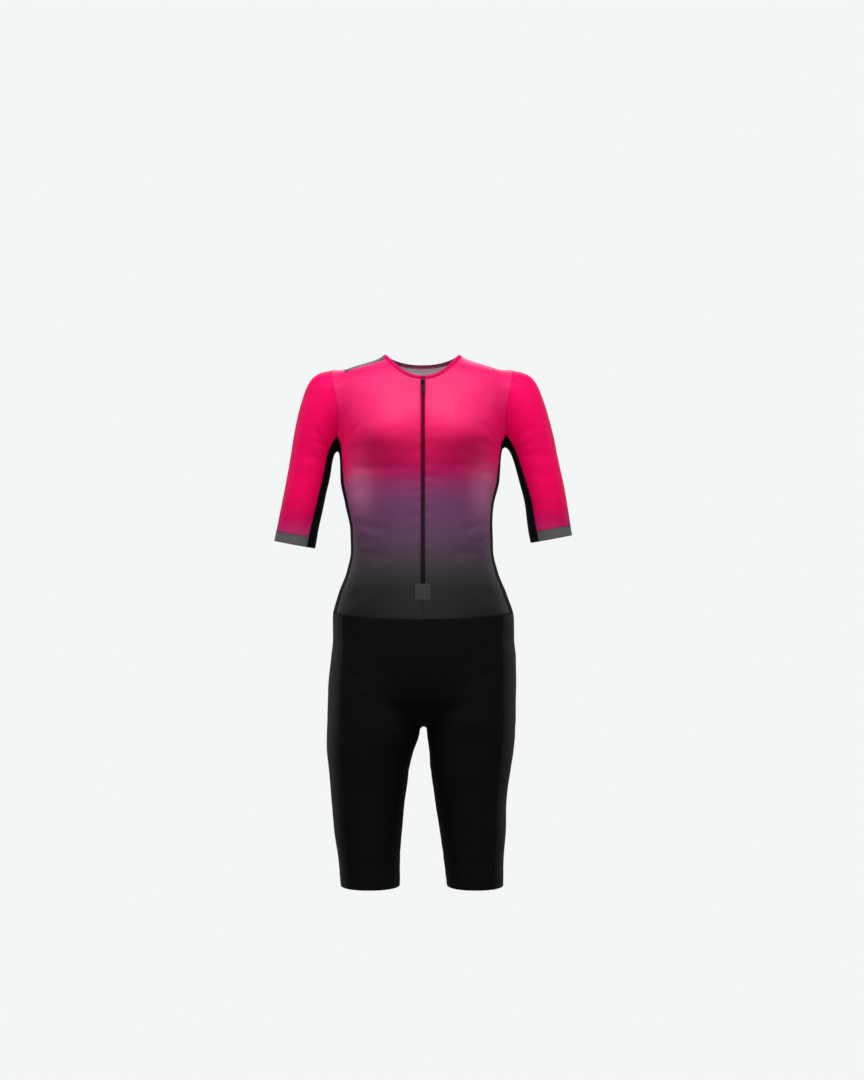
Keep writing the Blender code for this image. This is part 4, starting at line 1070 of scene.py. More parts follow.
def add_cloth(node, grid, slot, materials, free=(), wall=None, crown=0.0, band=None):
    """One cut piece: creased, grooved along its sewn edges and rounded along its free ones.

    Crown lifts the middle of a narrow binding. Band is an edge with doubled cloth along it.
    """
    cloth = bpy.context.scene.suit_cloth
    fine = with_edge_lines(grid)
    distances = edge_distances(fine)
    points = fine.reshape(-1, 3)
    normals = outward(points).reshape(fine.shape)
    lift = crease_height(points, CREASE_LINES) * cloth.creases + zip_wave(points)
    lift = lift.reshape(fine.shape[:2])
    sewn = np.min([distances[edge] for edge in EDGES if edge not in free], axis=0)
    wobble = pucker(points).reshape(lift.shape) * np.exp(-((sewn / (PUCKER_REACH * MM)) ** 2))
    lift += cloth.pucker * wobble
    lift -= cloth.groove_depth * (1 - smooth_step(sewn / cloth.groove_width))
    for edge in free:
        lift -= rounded_off(distances[edge], cloth.lip)
    if crown:
        across = distances["low"] / (distances["low"] + distances["high"])
        lift += crown * np.sin(math.pi * across) ** CROWN_ROUNDING
    if band:
        lift += cloth.hem_step * (1 - smooth_step((distances[band] - HEM_BAND * MM) / (HEM_SLOPE * MM)))
    face = fine + normals * lift[..., None]
    inner = face - normals * (wall or cloth.wall)
    for edge in free:
        inner += normals * rounded_off(distances[edge], cloth.lip)[..., None]
    cloth_piece("cloth_" + node, node, materials, face, normals, inner)


# ---- Node trees -----------------------------------------------------------------------------------------
def new_node(tree, kind, inputs=None, **settings):
    """A node with its settings, and with its inputs as plain values or other nodes' outputs."""
    made = tree.nodes.new(kind)
    for name, value in settings.items():
        setattr(made, name, value)
    for name, value in (inputs or {}).items():
        if isinstance(value, bpy.types.NodeSocket):
            tree.links.new(value, made.inputs[name])
        else:
            made.inputs[name].default_value = value
    return made


def maths(tree, operation, *values):
    """A maths node's output, from numbers and other outputs."""
    return new_node(tree, "ShaderNodeMath", dict(enumerate(values)), operation=operation).outputs[0]


# ---- Threads and teeth: one stitch shape, repeated along lines by Geometry Nodes --------------------------
STITCH = {"Segments": 6, "Rings": 3, "Radius": 0.5}


def thread_tree():
    """A node tree that lays one rounded stitch at each step along the edges of a mesh.

    The mesh's points carry face_normal, the way out of the cloth. Odd stitches slant and shift one way and
    even ones the other.
    """
    tree = bpy.data.node_groups.new("thread_row", "GeometryNodeTree")
    add_socket = tree.interface.new_socket
    add_socket("Geometry", in_out="INPUT", socket_type="NodeSocketGeometry")
    for name in ("Pitch", "Length", "Thickness", "Slant", "Spread"):
        add_socket(name, in_out="INPUT", socket_type="NodeSocketFloat")
    add_socket("Material", in_out="INPUT", socket_type="NodeSocketMaterial")
    add_socket("Geometry", in_out="OUTPUT", socket_type="NodeSocketGeometry")
    given = tree.nodes.new("NodeGroupInput").outputs

    def out(socket, kind, inputs=None, **settings):
        return new_node(tree, kind, inputs, **settings).outputs[socket]

    line = out("Curve", "GeometryNodeMeshToCurve", {"Mesh": given["Geometry"]})
    spacing = {"Curve": line, "Length": given["Pitch"]}
    steps = out("Curve", "GeometryNodeResampleCurve", spacing, mode="LENGTH")
    odd = maths(tree, "MODULO", out("Index", "GeometryNodeInputIndex"), 2.0)
    sign = maths(tree, "MULTIPLY_ADD", odd, 2.0, -1.0)

    attribute = {"Name": "face_normal"}
    normal = out("Attribute", "GeometryNodeInputNamedAttribute", attribute, data_type="FLOAT_VECTOR")
    tangent = out("Tangent", "GeometryNodeInputTangent")
    across = out("Vector", "ShaderNodeVectorMath", {0: tangent, 1: normal}, operation="CROSS_PRODUCT")
    spread = {0: across, "Scale": maths(tree, "MULTIPLY", given["Spread"], sign)}
    shift = out("Vector", "ShaderNodeVectorMath", spread, operation="SCALE")
    moved = out("Geometry", "GeometryNodeSetPosition", {"Geometry": steps, "Offset": shift})

    along = out("Rotation", "FunctionNodeAlignRotationToVector", {"Vector": tangent}, axis="X")
    to_face = {"Rotation": along, "Vector": normal}
    upright = out("Rotation", "FunctionNodeAlignRotationToVector", to_face, axis="Z", pivot_axis="X")
    turn = out("Vector", "ShaderNodeCombineXYZ", {"Z": maths(tree, "MULTIPLY", given["Slant"], sign)})
    lean = {"Rotation": upright, "Rotate By": turn}
    slanted = out("Rotation", "FunctionNodeRotateRotation", lean, rotation_space="LOCAL")

    sides = {"X": given["Length"], "Y": given["Thickness"], "Z": given["Thickness"]}
    placing = {
        "Points": moved,
        "Instance": out("Mesh", "GeometryNodeMeshUVSphere", STITCH),
        "Rotation": slanted,
        "Scale": out("Vector", "ShaderNodeCombineXYZ", sides),
    }
    stitches = out("Instances", "GeometryNodeInstanceOnPoints", placing)
    real = out("Geometry", "GeometryNodeRealizeInstances", {"Geometry": stitches})
    paint = {"Geometry": real, "Material": given["Material"]}
    painted = out("Geometry", "GeometryNodeSetMaterial", paint)
    new_node(tree, "NodeGroupOutput", {"Geometry": painted})
    return tree


def edge_line(node, edge, distance, lift=0.0, part=ALL_ALONG):
    """A line on a piece's face at a distance from one of its edges, raised by lift, and the normals there."""
    if node not in PIECES:
        raise RuntimeError("the threads come after the cloth: " + node + " isn't made yet")
    face = PIECES[node]["face"]
    normals = PIECES[node]["normals"]
    if edge in ("start", "end"):
        face = face.swapaxes(0, 1)
        normals = normals.swapaxes(0, 1)
    if edge in ("high", "end"):
        face = face[::-1]
        normals = normals[::-1]
    last = face.shape[1] - 1
    columns = range(round(part[0] * last), round(part[1] * last) + 1)
    steps = np.linalg.norm(np.diff(face, axis=0), axis=2)
    points = []
    facing = []
    for column in columns:
        run = np.concatenate([[0], np.cumsum(steps[:, column])])
        points.append([np.interp(distance, run, face[:, column, k]) for k in range(3)])
        facing.append([np.interp(distance, run, normals[:, column, k]) for k in range(3)])
    points = np.array(points) + np.array(facing) * lift
    return points, np.array(facing)


def line_object(name, lines):
    """Lines as one mesh of loose edges, whose points carry the way out of the cloth."""
    mesh = bpy.data.meshes.new(name)
    edges = []
    start = 0
    for points, _ in lines:
        edges += [(start + k, start + k + 1) for k in range(len(points) - 1)]
        start += len(points)
    mesh.from_pydata(np.concatenate([points for points, _ in lines]).tolist(), edges, [])
    way_out = mesh.attributes.new("face_normal", "FLOAT_VECTOR", "POINT")
    way_out.data.foreach_set("vector", np.concatenate([facing for _, facing in lines]).ravel())
    return shown(name, mesh)


def sewn_row(name, lines, sizes, material):
    """The stitches along some lines, as a plain mesh object."""
    tree = bpy.data.node_groups.get("thread_row") or thread_tree()
    thing = line_object(name, lines)
    modifier = thing.modifiers.new("thread_row", "NODES")
    modifier.node_group = tree
    for socket in tree.interface.items_tree:
        if socket.in_out == "INPUT" and socket.name in sizes:
            modifier[socket.identifier] = float(sizes[socket.name])
        elif socket.in_out == "INPUT" and socket.name == "Material":
            modifier[socket.identifier] = material
    bpy.context.view_layer.update()
    graph = bpy.context.evaluated_depsgraph_get()
    made = bpy.data.meshes.new_from_object(
        thing.evaluated_get(graph), preserve_all_data_layers=True, depsgraph=graph
    )
    thing.modifiers.remove(modifier)
    thing.data = made
    made.shade_smooth()
    return thing


def one_mesh(name, things, material):
    """Joins mesh objects into a new one, in one material."""
    mesh = bpy.data.meshes.new(name)
    work = bmesh.new()
    for thing in things:
        work.from_mesh(thing.data)
    for face in work.faces:
        face.material_index = 0
    work.to_mesh(mesh)
    work.free()
    for thing in things:
        bpy.data.objects.remove(thing)
    mesh.materials.clear()
    mesh.materials.append(material)
    mesh.shade_smooth()
    return shown(name, mesh)


# ---- Colours and finishes: the print as (height, sRGB colour) from the top down ---------------------------
MATTE_KNIT = {"Roughness": 0.65, "Specular IOR Level": 0.15, "Sheen Weight": 0.05, "Sheen Roughness": 0.5}
PRINT_KNIT = {"Roughness": 0.42, "Specular IOR Level": 0.24, "Sheen Weight": 0.0}
SLEEVE_KNIT = {"Roughness": 0.48, "Specular IOR Level": 0.05, "Sheen Weight": 0.0}
SMOOTH_KNIT = {"Roughness": 0.42, "Specular IOR Level": 0.08, "Sheen Weight": 0.0}
DARK_KNIT = {"Roughness": 0.6, "Specular IOR Level": 0.06, "Sheen Weight": 0.0}
YARN = {"Roughness": 0.6, "Specular IOR Level": 0.12}
LACQUER = {"Specular IOR Level": 0.12}
LACQUER_ROUGHNESS = (0.42, 0.62)
LACQUER_PITS = ((0.3, 1.0), (0.75, 1.35))  # where the grain has which shade
THREAD_SHADE = 0.84  # how dark the thread is beside the print
PLY_SHADES = (0.8, 1.2)
LOOP = {"courses": 1.3, "lean": 1.6, "course": 0.35, "shade": 0.06}  # beside the columns, which count as 1
LOOP_GROUND = 0.97  # shade of the cloth between its loops
WEAVE = {"Distortion": 0.6, "Detail": 1.0}
WARP_PITCH = 0.7  # beside the ribs' pitch
WEAVE_GROUND = 0.6  # shade of the tape between its ribs
WAVE_SCALE = 0.314  # of a wave texture with one wave a metre
GRAIN = {"yarn": (38.0, 3.0), "lacquer": (1400.0, 2.0), "plies": (2200.0, 2.0)}  # scale and detail
# depth and strength
RELIEF = {"lacquer": (0.02 * MM, 0.4), "weave": (0.12 * MM, 0.7), "plies": (0.05 * MM, 1.0)}
KNIT_RELIEF = 0.6

TORSO_PRINT = (
    (0, (238, 4, 104)),
    (-112, (238, 4, 102)),
    (-135, (238, 3, 96)),
    (-165, (234, 3, 94)),
    (-192, (228, 5, 98)),
    (-210, (194, 24, 101)),
    (-222, (172, 44, 108)),
    (-240, (146, 56, 110)),
    (-262, (117, 61, 106)),
    (-300, (102, 62, 98)),
    (-330, (87, 60, 84)),
    (-360, (66, 51, 64)),
    (-390, (42, 38, 41)),
    (-412, (22, 21, 22)),
    (-470, (20, 20, 21)),
)
SLEEVE_PRINT = (
    (0, (246, 2, 96)),
    (-240, (246, 1, 92)),
    (-268, (232, 2, 86)),
    (-290, (208, 9, 88)),
    (-306, (198, 32, 104)),
    (-322, (176, 60, 112)),
    (-340, (130, 62, 92)),
)
# soft patches of painted light and shade on both sides of the front: across, height, width, length, share
# and colour
PAINTED_LIGHT_AND_SHADE = (
    # a paler painted sheen over the ribs
    (116, -240, 27, 46, 0.4, (238, 150, 190)),
    # painted light down the side of the bust, below the armpit
    (148, -172, 26, 44, 0.95, (255, 26, 112)),
    # painted shade under the bust
    (90, -166, 26, 24, 0.4, (170, 0, 66)),
)
SHOULDER_BAND = {"across": (-139, -54), "depth": (-35, 20), "colour": (56, 44, 51)}  # a plain block
BAND_EDGE = 1.0  # how soft the block's edges are
PAINTED_PATCH_FRONT = 30.0  # how far in front of the middle the painted light and shade reach their full strength

KNITS = {  # colours, or the property that says the colour; finish; and what the loops are like
    # the print, with painted light and shade on its front
    "torso_knit": (TORSO_PRINT, PRINT_KNIT, {"band": SHOULDER_BAND, "painted_patches": PAINTED_LIGHT_AND_SHADE}),
    # pink binding cloth, painted deeper for the shade along the front neckline
    "bound_print": ("front_binding", SLEEVE_KNIT, {"pitch": 0.9}),
    "sleeve_knit": (SLEEVE_PRINT, SLEEVE_KNIT, {}),
    "side_knit": ("black_jersey", DARK_KNIT, {}),
    "shorts_knit": ("shorts", DARK_KNIT, {"pitch": 0.7}),
    "thigh_knit": ("thigh", SMOOTH_KNIT, {"pitch": 0.6}),
    "gripper": ("gripper", MATTE_KNIT, {"pitch": 1.6, "depth": 0.25, "drift": 0.2}),
    "binding": ("binding", MATTE_KNIT, {"pitch": 0.9}),
    "pale_reverse": ("reverse", MATTE_KNIT, {"pitch": 0.9, "drift": 0.05}),
    "dark_reverse": ((26, 26, 27), MATTE_KNIT, {"pitch": 0.9}),
    "patch_cloth": ("patch", MATTE_KNIT, {"pitch": 1.1, "depth": 0.15, "drift": 0.25}),
}
THREAD_PRINT = tuple((height, tuple(THREAD_SHADE * c for c in colour)) for height, colour in TORSO_PRINT)
YARNS = {  # colours and band
    "zip_teeth": ((34, 16, 27), None),
    "print_thread": (THREAD_PRINT, SHOULDER_BAND),
    "black_thread": ((18, 18, 19), None),
    "grey_thread": ((96, 96, 97), None),
}


# ---- Materials ------------------------------------------------------------------------------------------
def linear(colour):
    """An sRGB colour of 0 to 255 as a linear one of 0 to 1."""
    share = np.array(colour[:3], float) / 255
    return tuple(np.where(share <= 0.04045, share / 12.92, ((share + 0.055) / 1.055) ** 2.4))


def placed(tree):
    """The three coordinates of the place on the suit."""
    place = new_node(tree, "ShaderNodeTexCoord").outputs["Object"]
    return new_node(tree, "ShaderNodeSeparateXYZ", {"Vector": place}).outputs


def ranged(tree, value, given, made=(0.0, 1.0)):
    """A value brought from one range to another, and kept within it."""
    ends = zip(("From Min", "From Max", "To Min", "To Max"), (*given, *made))
    return new_node(tree, "ShaderNodeMapRange", {"Value": value, **dict(ends)}).outputs["Result"]


def grain_of(tree, scale, detail):
    """An uneven grain that follows the place on the suit."""
    place = new_node(tree, "ShaderNodeTexCoord").outputs["Object"]
    grain = {"Vector": place, "Scale": scale, "Detail": detail}
    return new_node(tree, "ShaderNodeTexNoise", grain).outputs["Fac"]


def relief(tree, height, depth, strength):
    """The normals of a fine relief. Its depth is in metres."""
    bump = {"Height": height, "Distance": depth, "Strength": strength}
    return new_node(tree, "ShaderNodeBump", bump).outputs["Normal"]


def shaded(tree, colour, value):
    """A colour made lighter or darker by a value."""
    shade = {"Color": colour, "Value": value}
    return new_node(tree, "ShaderNodeHueSaturation", shade).outputs["Color"]


def blended_in(tree, source, share, colour):
    """The source colour with a share of another colour in it."""
    mix = new_node(tree, "ShaderNodeMix", {"Factor": share}, data_type="RGBA")
    sockets = [socket for socket in mix.inputs if socket.type == "RGBA"]
    tree.links.new(source, sockets[0])
    sockets[1].default_value = (*linear(colour), 1.0)
    return next(socket for socket in mix.outputs if socket.type == "RGBA")


def knit_group():
    """Fine knitted cloth: columns of loops along V, rows along U, and a slow drift in the yarn's colour."""
    group = bpy.data.node_groups.get("knit")
    if group:
        return group
    group = bpy.data.node_groups.new("knit", "ShaderNodeTree")
    for name, kind, default in (
        ("Colour", "NodeSocketColor", (0.5, 0.5, 0.5, 1.0)),
        ("Pitch", "NodeSocketFloat", 0.8 * MM),
        ("Depth", "NodeSocketFloat", 0.06 * MM),
        ("Drift", "NodeSocketFloat", 0.08),
    ):
        group.interface.new_socket(name, in_out="INPUT", socket_type=kind).default_value = default
    group.interface.new_socket("Colour", in_out="OUTPUT", socket_type="NodeSocketColor")
    group.interface.new_socket("Normal", in_out="OUTPUT", socket_type="NodeSocketVector")
    given = group.nodes.new("NodeGroupInput").outputs
    uv = new_node(group, "ShaderNodeUVMap", uv_map="cloth").outputs["UV"]
    parts = new_node(group, "ShaderNodeSeparateXYZ", {"Vector": uv}).outputs
    turns = maths(group, "DIVIDE", 2 * math.pi, given["Pitch"])
    wale = maths(group, "ABSOLUTE", maths(group, "SINE", maths(group, "MULTIPLY", parts["X"], turns)))
    lean = maths(group, "MULTIPLY", wale, LOOP["lean"])
    course_turns = maths(group, "MULTIPLY", turns, LOOP["courses"])
    rows = maths(group, "ADD", maths(group, "MULTIPLY", parts["Y"], course_turns), lean)
    course = maths(group, "MULTIPLY", maths(group, "SINE", rows), LOOP["course"])
    normal = relief(group, maths(group, "ADD", wale, course), given["Depth"], KNIT_RELIEF)
    uneven = maths(group, "SUBTRACT", grain_of(group, *GRAIN["yarn"]), 0.5)
    drift = maths(group, "MULTIPLY", uneven, given["Drift"])
    loop_shade = maths(group, "MULTIPLY", wale, LOOP["shade"])
    value = maths(group, "ADD", maths(group, "ADD", drift, loop_shade), LOOP_GROUND)
    dyed = shaded(group, given["Colour"], value)
    new_node(group, "NodeGroupOutput", {"Colour": dyed, "Normal": normal})
    return group


def height_ramp(tree, stops):
    """Colours that change with the height on the suit. Stops are (height in millimetres, sRGB colour)."""
    stops = sorted(stops)
    low = stops[0][0]
    high = stops[-1][0]
    share = ranged(tree, placed(tree)["Z"], (low * MM, high * MM))
    ramp = new_node(tree, "ShaderNodeValToRGB", {"Fac": share})
    marks = ramp.color_ramp.elements
    for number, (height, colour) in enumerate(stops):
        where = (height - low) / (high - low)
        mark = marks[number] if number < 2 else marks.new(where)
        mark.position = where
        mark.color = (*linear(colour), 1.0)
    return ramp.outputs["Color"]


def banded(tree, source, band):
    """The source colour with a plain block of the band's colour in it."""
    parts = placed(tree)
    inside = 1.0
    for axis, (low, high) in (("X", band["across"]), ("Y", band["depth"])):
        for edge, inner in ((low, low + BAND_EDGE), (high, high - BAND_EDGE)):
            share = ranged(tree, parts[axis], (edge * MM, inner * MM))
            inside = maths(tree, "MULTIPLY", inside, share)
    return blended_in(tree, source, inside, band["colour"])


def with_painted_patch(tree, source, painted_patch):
    """The source colour with one soft patch of painted light on both sides of the front: paler for a painted
    highlight, deeper for painted shade.
    """
    across, height, width, length, share, colour = painted_patch
    parts = placed(tree)
    far = []
    for value, middle, radius in (
        (maths(tree, "ABSOLUTE", parts["X"]), across, width),
        (parts["Z"], height, length),
    ):
        step = maths(tree, "DIVIDE", maths(tree, "SUBTRACT", value, middle * MM), radius * MM)
        far.append(maths(tree, "MULTIPLY", step, step))
    near = maths(tree, "EXPONENT", maths(tree, "MULTIPLY", maths(tree, "ADD", *far), -1.0))
    soft = maths(tree, "MULTIPLY", near, share)
    in_front = ranged(tree, parts["Y"], (0.0, -PAINTED_PATCH_FRONT * MM))
    return blended_in(tree, source, maths(tree, "MULTIPLY", soft, in_front), colour)


def coloured(tree, colour, band=None, painted_patches=()):
    """One colour, or colours that run down the suit: ((height, colour), ...).

    Band is a plain block of another colour, over a range across the body and from front to back. The soft
    patches of other colours on the front are painted highlights and painted shade.
    """
    if not isinstance(colour[0], tuple):
        return (*linear(colour), 1.0)
    source = height_ramp(tree, colour)
    # painted highlights and painted shade laid over the print
    for painted_patch in painted_patches:
        source = with_painted_patch(tree, source, painted_patch)
    return banded(tree, source, band) if band else source


def shader_of(name):
    """A new material, its node tree and its shader."""
    made = bpy.data.materials.new(name)
    made.use_nodes = True
    return made, made.node_tree, made.node_tree.nodes["Principled BSDF"]


def set_inputs(shader, values):
    for name, value in values.items():
        shader.inputs[name].default_value = value


def surface(made, shader, colour, normal, finish):
    """The material, with its colour, its fine relief and its finish."""
    made.node_tree.links.new(colour, shader.inputs["Base Color"])
    made.node_tree.links.new(normal, shader.inputs["Normal"])
    set_inputs(shader, finish)
    return made


def knitted(name, colour, finish, pitch=0.8, depth=0.06, drift=0.08, band=None, painted_patches=()):
    """Knitted cloth, with the pitch and depth of its loops and the drift in its yarn's colour."""
    made, tree, shader = shader_of(name)
    loops = {"Pitch": pitch * MM, "Depth": depth * MM, "Drift": drift}
    loops["Colour"] = coloured(tree, colour, band, painted_patches)
    knit = new_node(tree, "ShaderNodeGroup", loops, node_tree=knit_group()).outputs
    return surface(made, shader, knit["Colour"], knit["Normal"], finish)


def rubbed_metal(name, colour, finish):
    """Matt lacquer over metal: uneven gloss, a grain of fine pits."""
    made, tree, shader = shader_of(name)
    grain = grain_of(tree, *GRAIN["lacquer"])
    ramp = new_node(tree, "ShaderNodeValToRGB", {"Fac": grain})
    for mark, (where, shade) in zip(ramp.color_ramp.elements, LACQUER_PITS):
        mark.position = where
        mark.color = (*linear([channel * shade for channel in colour]), 1.0)
    tree.links.new(ranged(tree, grain, (0.0, 1.0), LACQUER_ROUGHNESS), shader.inputs["Roughness"])
    pits = relief(tree, grain, *RELIEF["lacquer"])
    return surface(made, shader, ramp.outputs["Color"], pits, finish)


def woven(name, colours, shade, finish, pitch):
    """Woven tape: ribs across it, broken by the warp, in shades of colours that run down the suit."""
    made, tree, shader = shader_of(name)
    uv = new_node(tree, "ShaderNodeUVMap", uv_map="cloth").outputs["UV"]
    ribs = {"Vector": uv, "Scale": WAVE_SCALE / (pitch * MM), **WEAVE}
    weave = new_node(tree, "ShaderNodeTexWave", ribs, bands_direction="Y").outputs["Fac"]
    ends = {"Vector": uv, "Scale": WAVE_SCALE / (WARP_PITCH * pitch * MM)}
    warp = new_node(tree, "ShaderNodeTexWave", ends).outputs["Fac"]
    both = maths(tree, "MULTIPLY", weave, warp)
    tone = ranged(tree, both, (0.0, 1.0), (WEAVE_GROUND * shade, shade))
    dyed = shaded(tree, height_ramp(tree, colours), tone)
    return surface(made, shader, dyed, relief(tree, both, *RELIEF["weave"]), finish)


def spun(name, colour, band=None):
    """Sewing thread: fine plies and a drift in shade."""
    made, tree, shader = shader_of(name)
    plies = grain_of(tree, *GRAIN["plies"])
    dyed = shaded(tree, coloured(tree, colour, band), ranged(tree, plies, (0.0, 1.0), PLY_SHADES))
    return surface(made, shader, dyed, relief(tree, plies, *RELIEF["plies"]), YARN)


def fabric(name):
    """One of the suit's materials, made when it is first asked for."""
    scene = bpy.context.scene
    made = bpy.data.materials.get(name)
    if made:
        return made
    if name in KNITS:
        colour, finish, loops = KNITS[name]
        if isinstance(colour, str):
            colour = tuple(255 * channel for channel in getattr(scene.suit_colours, colour))
        return knitted(name, colour, finish, **loops)
    if name in YARNS:
        return spun(name, *YARNS[name])
    if name == "zip_weave":
        return woven(name, TORSO_PRINT, scene.suit_zip.tape_shade, DARK_KNIT, 0.9)
    if name == "lacquer":
        return rubbed_metal(name, (13, 10, 12), LACQUER)
    raise RuntimeError("no material is called " + name)


# ---- The zip and its patch ------------------------------------------------------------------------------
def rounded_grid(half_width, half_height, radius, rings):
    """Flat points of a patch with round corners: nested rounded rectangles on a square grid, from -1 to 1."""
    ticks = np.linspace(-1, 1, 2 * rings + 1)
    v, u = np.meshgrid(ticks, ticks, indexing="ij")
    size = np.maximum(np.abs(u), np.abs(v))
    x = u * half_width
    y = v * half_height
    inset_x = np.maximum(np.abs(x) - size * (half_width - radius), 0)
    inset_y = np.maximum(np.abs(y) - size * (half_height - radius), 0)
    far = np.hypot(inset_x, inset_y)
    limit = size * radius
    pull = np.where(far > limit, limit / np.maximum(far, TINY), 1.0)
    in_corner = (inset_x > 0) & (inset_y > 0)
    pull = np.where(in_corner, pull, 1.0)
    x = np.sign(x) * (np.abs(x) - inset_x * (1 - pull))
    y = np.sign(y) * (np.abs(y) - inset_y * (1 - pull))
    return x, y


def add_patch_piece():
    """The plain patch over the zip's lower end, with a turned edge and a stitched border."""
    patch = bpy.context.scene.suit_zip
    width, height = PATCH_SIZE
    x, y = rounded_grid(width / 2, height / 2, patch.patch_corner / MM, PATCH_CELLS)
    up = PATCH_TOP - height / 2 - y
    guides = np.stack([x + ZIP_SHIFT, np.full_like(x, ZIP_GUIDE_DEPTH), up], axis=2)
    grid = lay(guides * MM).reshape(guides.shape)
    normals = outward(grid.reshape(-1, 3)).reshape(grid.shape)
    thick = PATCH_CLOTH * MM
    raised = (SEAM_GAP + PATCH_CLOTH) * MM
    edge = np.min(list(edge_distances(grid).values()), axis=0)
    lift = raised - PATCH_EDGE["drop"] * thick * (1 - smooth_step(edge / (PATCH_EDGE["reach"] * MM)))
    sewn = np.exp(-(((edge - patch.border) / (PATCH_STITCH["width"] * MM)) ** 2))
    lift -= PATCH_STITCH["sink"] * MM * sewn
    face = grid + normals * lift[..., None]
    inner = grid + normals * SEAM_GAP * MM
    materials = ("patch_cloth", "patch_cloth")
    cloth_piece("end_patch", "zip_patch", materials, face, normals, inner)


def tape_grid(zip_edges, edge):
    """The zip's tape between the fronts, and a little way under both, from the neck's edge to the patch."""
    left = np.vstack([edge[1][:1], zip_edges[1]])
    right = np.vstack([edge[-1][:1], zip_edges[-1]])
    under = bpy.context.scene.suit_zip.tape_under
    share = np.linspace(0, 1, TAPE_CELLS + 1)[None, :, None]
    across = left - right
    width = np.linalg.norm(across, axis=1)[:, None]
    right = right - across / width * under
    left = left + across / width * under
    return right[:, None] * (1 - share) + left[:, None] * share


def add_tape(zip_edges, edge):
    """The tape as a thin woven strip below the fronts' face."""
    grid = tape_grid(zip_edges, edge)
    laid = lay(grid).reshape(grid.shape)
    normals = outward(laid.reshape(-1, 3)).reshape(grid.shape)
    face = laid - normals * TAPE_DEPTH * MM
    inner = face - normals * TAPE_WALL * MM
    cloth_piece("zip_tape", "zip_strip", ("zip_weave", "zip_weave"), face, normals, inner)


# ---- What a user may change -----------------------------------------------------------------------------
def length(name, description, millimetres):
    """A length that is shown in the scene's units."""
    return FloatProperty(
        name=name, description=description, default=millimetres * MM, min=0.0, unit="LENGTH", precision=5
    )


def colour(name, description, value):
    """A colour in sRGB shares."""
    share = tuple(channel / 255 for channel in value)
    return FloatVectorProperty(
        name=name, description=description, default=share, size=3, min=0.0, max=1.0, subtype="COLOR_GAMMA"
    )


class SuitCloth(bpy.types.PropertyGroup):
    wall: length("Cloth wall", "Thickness of the knitted cloth", 0.8)
    cuff_wall: length("Gripper wall", "Thickness of the doubled gripper band", 1.3)
    binding_wall: length("Binding wall", "Thickness of the folded neck binding", 1.7)
    crown: length("Binding crown", "How far the neck binding stands up in its middle", 0.5)
    groove_depth: length("Seam depth", "How far the cloth sinks at a seam", 0.35)
    groove_width: length("Seam width", "How far a seam's groove reaches into the cloth", 1.3)
    lip: length("Lip", "How far a free edge is rounded", 0.3)
    pucker: length("Pucker", "Height of the small waves beside a seam", 0.15)
    hem_step: length("Hem step", "How far the doubled hem stands proud", 0.25)
    creases: FloatProperty(name="Creases", description="Depth of the creases", default=1.0, min=0.0, max=2.0)


class SuitColours(bpy.types.PropertyGroup):
    black_jersey: colour("Side pieces", "Black cloth of the side and underarm pieces", (14, 14, 15))
    shorts: colour("Shorts", "Black cloth of the shorts' front and back", (12, 12, 13))
    thigh: colour("Thigh pieces", "Smooth black cloth of the shorts' sides", (12, 12, 13))
    gripper: colour("Grippers", "Grey rubbed knit of the sleeve bands", (92, 91, 92))
    binding: colour("Back binding", "Dark binding behind the neck", (150, 72, 104))
    # the pale unprinted inside, with a pink tint painted in for light shining through the printed cloth
    reverse: colour("Reverse", "Unprinted inside of the printed cloth", (250, 230, 240))
    patch: colour("Patch", "Cloth of the patch under the zip", (60, 59, 60))
    # the binding's own pink, painted deeper for the shade along the front neckline
    front_binding: colour("Front binding", "Deeper pink of the binding along the fronts", (208, 3, 84))


class SuitStitches(bpy.types.PropertyGroup):
    pitch: length("Pitch", "From one needle stitch to the next", 3.0)
    stitch: length("Stitch", "Length of a needle stitch", 2.3)
    thread: length("Thread", "Thickness of the thread", 0.36)
    inset: length("Inset", "From a seam to the needle row beside it", 2.1)
    cover_pitch: length("Cover pitch", "From one cover thread to the next", 2.2)
    cover: length("Cover thread", "Length of a thread across a seam", 4.2)
    slant: FloatProperty(
        name="Slant", description="How far cover threads lean", default=math.radians(52), subtype="ANGLE"
    )


class SuitZip(bpy.types.PropertyGroup):
    pitch: length("Tooth pitch", "From one tooth of the coil to the next", 1.5)
    tooth: length("Tooth", "Length of a tooth across the zip", 2.6)
    tooth_width: length("Tooth width", "Thickness of a tooth", 0.75)
    tape_under: length("Tape under", "How far the tape runs under the fronts", 2.5)
    tape_shade: FloatProperty(
        name="Tape shade", description="How dark the tape is beside the print", default=0.5, min=0.0, max=1.0
    )
    patch_corner: length("Patch corner", "Radius of the patch's corners", 4.0)
    border: length("Patch border", "From the patch's edge to its stitches", 1.8)


def power(name, description, watts):
    return FloatProperty(name=name, description=description, default=watts, min=0.0, subtype="POWER")


class SuitStage(bpy.types.PropertyGroup):
    key: power("Key", "Power of the light above the front", 57.0)
    front: power("Front", "Power of the light in front", 22.0)
    wing: power("Wings", "Power of the lights above both sides", 14.0)
    side: power("Sides", "Power of the strips beside", 2.5)
    back: power("Back", "Power of the light behind", 18.0)
    fill: FloatProperty(name="Fill", description="Strength of the light from all round", default=0.34)
    backdrop: colour("Backdrop", "Plain pale ground all round", (244, 246, 246))


